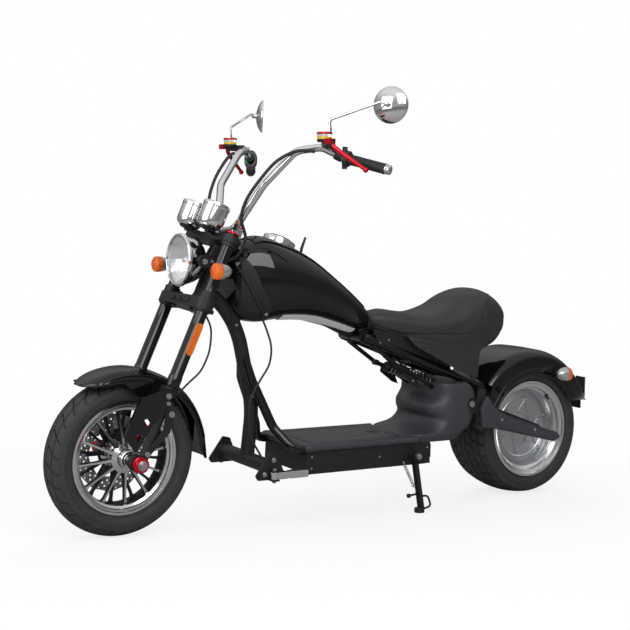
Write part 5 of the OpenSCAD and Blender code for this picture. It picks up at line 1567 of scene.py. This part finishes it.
bm = bmesh.new()
plate(bm, [(14, -460), (32, -460), (38, -482), (28, -514), (58, -600), (44, -610), (5, -515), (12, -484)],
      138.2, 145.3, 4)
part("link_arms", bm, steered, satin, "front_end", bevel=0.001)
bm = bmesh.new()
side_bolts(bm, [(54, 142.3, -420, 14, 8), (24, 145.3, -466, 15, 8), (50, 145.3, -598, 13, 8),
                (46, 142.3, -440, 10, 8)], True)
part("plate_bolts", bm, steered, steel, "front_end")

# Front axle
# A steel spindle with red anodised bobbins outside the fork and a hexagon bolt in each.
bm = bmesh.new()
for s in both:
    turned(bm, [(8, 137.3), (21, 137.3), (22, 139), (22, 147), (16, 150), (16, 153), (22, 156), (22, 163),
                (20.5, 165.3), (8, 165.3)],
           (0, 0, 0), (0, s, 0), 64)
part("axle_bobbins", bm, front_wheel, red, "front_end", "front_axle")
bm = bmesh.new()
drum(bm, (0, -162, 0), (0, 162, 0), 16)
for s in both:
    drum(bm, (0, s * 164, 0), (0, s * 166.5, 0), 30, 30, 40)
    drum(bm, (0, s * 166, 0), (0, s * 176, 0), 24, 24, 6)
part("axle_spindle", bm, front_wheel, steel, "front_end", bevel=0.0006)

# Front brake caliper
# A red two-piston caliper grips the disc's rear edge on a black bracket from the right leg, with a
# copper banjo bolt.
caliper = front_wheel @ Matrix.Rotation(radians(35), 4, "Y")
bm = bmesh.new()
box(bm, (-133, -86, -25), (-79, -66, 25))
box(bm, (-133, -50.5, -25), (-79, -38, 25))
for w in (-25, 9):
    box(bm, (-133, -80, w), (-125, -42, w + 16))
for w in (-12, 12):
    drum(bm, (-103, -89, w), (-103, -85, w), 22, 22, 32)
    drum(bm, (-103, -38, w), (-103, -34, w), 20, 20, 32)
part("caliper_halves", bm, caliper, red, "front_end", "front_caliper", bevel=0.003)
bm = bmesh.new()
box(bm, (-124, -106.7, -12), (-40, -97, 26))
box(bm, (-124, -98, -10), (-96, -84, 22))
part("caliper_bracket", bm, caliper, satin, "front_end", bevel=0.0015)
bm = bmesh.new()
drum(bm, (-120, -58, 25), (-120, -58, 33), 12, 12, 6)
for w in (-18, 18):
    bolt(bm, (-110, -106.7, w * 0.5 + 7), (0, -1, 0), 11, 6)
part("caliper_bolts", bm, caliper, Finish("copper_plate", (0.72, 0.3, 0.12), "steel", Metallic=1.0,
                                          Roughness=0.3), "front_end")

# Front fender
# A gloss black fender with a drawn front tip, skirts that dip to the fork plates and stays to the legs.
bm = bmesh.new()
rows = [(a, 268, 80 * sqrt(1 - ((70 - a) / 15) ** 2), 264.5 - 30.5 * ((a - 55.3) / 14.7) ** 0.75)
        for a in (55.3, 55.8, 56.6, 57.6, 59, 61, 63.5, 66, 69)]
rows += [(a, 268, 80, 234) for a in range(72, 173, 4)] + [(176, 270, 78, 238), (180, 273, 74, 246),
                                                          (183, 276, 70, 256)]
arch(bm, rows, 3.0, (30, 46))
plate(bm, [(98, 226), (31, 229), (-20, 184), (-84, 186), (-150, 190), (-178, 176), (-182, 184), (-110, 224),
           (0, 248)], 77, 80, 5)
part("front_fender_shell", bm, front_wheel, gloss, "front_end", "front_fender", sharp=40)
bm = bmesh.new()
wheel_arc(bm, lambda a: 235 if a > 72 else 235 + (72 - a) * 1.6, 78.6, 5, 60, 76, 16)
wheel_arc(bm, 252, 79.4, 4, 66, 168)
for s in both:
    tube(bm, rounded([(98, s * 79, 226), (31, s * 79, 229), (-20, s * 79, 184), (-84, s * 79, 186),
                      (-150, s * 79, 190),
                      (-178, s * 79, 176)], 8), 5, 12)
part("front_fender_ribs", bm, front_wheel, gloss, "front_end", sharp=60)
bm = bmesh.new()
for s in both:
    box(bm, (32, s * 77, -416), (60, s * 106.7, -392.6))
    bolt(bm, (46, s * 88, -392.6), up_axis, 10, 4)
part("fender_stays", bm, steered, satin, "front_end", bevel=0.0012)

# Side stand
# A channelled steel leg on a bolted bracket, with a round foot, a loop and a knob for the boot.
stand_pivot, stand_foot = Vector((560, 158, 190)), Vector((576, 198, 13.8))
top, end = stand_pivot + Vector((12, 0, -8)), stand_foot + Vector((-6, 0, 14))
reach = end - top
leg = (upright @ Matrix.Translation(top) @ Matrix.Rotation(atan2(reach.y, reach.x), 4, "Z")
       @ Matrix.Rotation(acos(reach.z / reach.length), 4, "Y"))
bm = bmesh.new()
box(bm, (-8, -9, 0), (1.5, 9, reach.length))
for y in (-9, 4):
    box(bm, (-8, y, 2), (8, y + 5, reach.length - 2))
box(bm, (-8, -9, 0), (8, 9, 22))
part("stand_channel", bm, leg, satin, "side_stand", bevel=0.001)
bm = bmesh.new()
turned(bm, [(6.2, -8), (16, -8), (17, -7), (17, 7), (16, 8), (6.2, 8)], stand_pivot, (0, 1, 0), 48)
turned(bm, [(0, 0), (15, 0), (17, 1.6), (17, 14), (15.4, 16), (0, 16)], stand_foot,
       (0, -sin(lean), cos(lean)), 48)
tube(bm, rounded([stand_foot + Vector(p) for p in ((-8, 2, 10), (-40, 10, 20), (-36, -4, 52),
                                                   (-2, -11, 50))], 12), 7, 16)
tube(bm, [stand_foot + Vector((4, -14, 58)), stand_foot + Vector((34, -12, 56))], 7, 16)
turned(bm, [(0, 0), (6, 0.4), (7, 2), (7, 9), (6, 10.8), (0, 11)], stand_foot + Vector((32, -12, 56)),
       (1, 0, -0.09), 32)
part("stand_fittings", bm, upright, satin, "side_stand", "stand_leg", bevel=0.0006)
bm = bmesh.new()
for s, y in ((1, 166), (-1, 150)):
    bolt(bm, stand_pivot + Vector((0, y - 158, 0)), (0, s, 0), 17, 7)
coil(bm, Vector((605, 139.5, 170)), Vector((585, 175.5, 95)), 4.9, 2.2, 17, 8)
for a, b in (((606, 137.8, 174), (604.6, 140.2, 169)), ((585.2, 175, 96.5), (584.2, 177, 91.5))):
    tube(bm, [a, b], 3, 12)
part("stand_spring_coil", bm, upright, steel, "side_stand", "stand_spring")

# Footpegs
# Chromed square bars with cross grooves and a rubber strip, hinged on the frame's lugs and folded back.
for s, body in ((1, "peg_left"), (-1, "peg_right")):
    at = upright @ Matrix.Translation(peg_hinge[s])
    bm = bmesh.new()
    turned(bm, [(5.1, -11), (12.4, -11), (13, -10.2), (13, 10.2), (12.4, 11), (5.1, 11)], (0, 0, 0), up_axis,
           48)
    box(bm, (-44, -12.6, -10.6), (-8, 12.6, 10.6))
    box(bm, (-118, -12.4, -11), (-52, 12.4, 11))
    box(bm, (-56, -11, -9.6), (-42, 11, 9.6))
    part(body + "_bar", bm, at, chrome, body, body, bevel=0.0014)
    bm = bmesh.new()
    for k in range(3):
        box(bm, (-112, -8.6 + 6.6 * k, 10), (-60, -4.6 + 6.6 * k, 12.6))
    part(body + "_rubber", bm, at, rubber, body, bevel=0.0004)
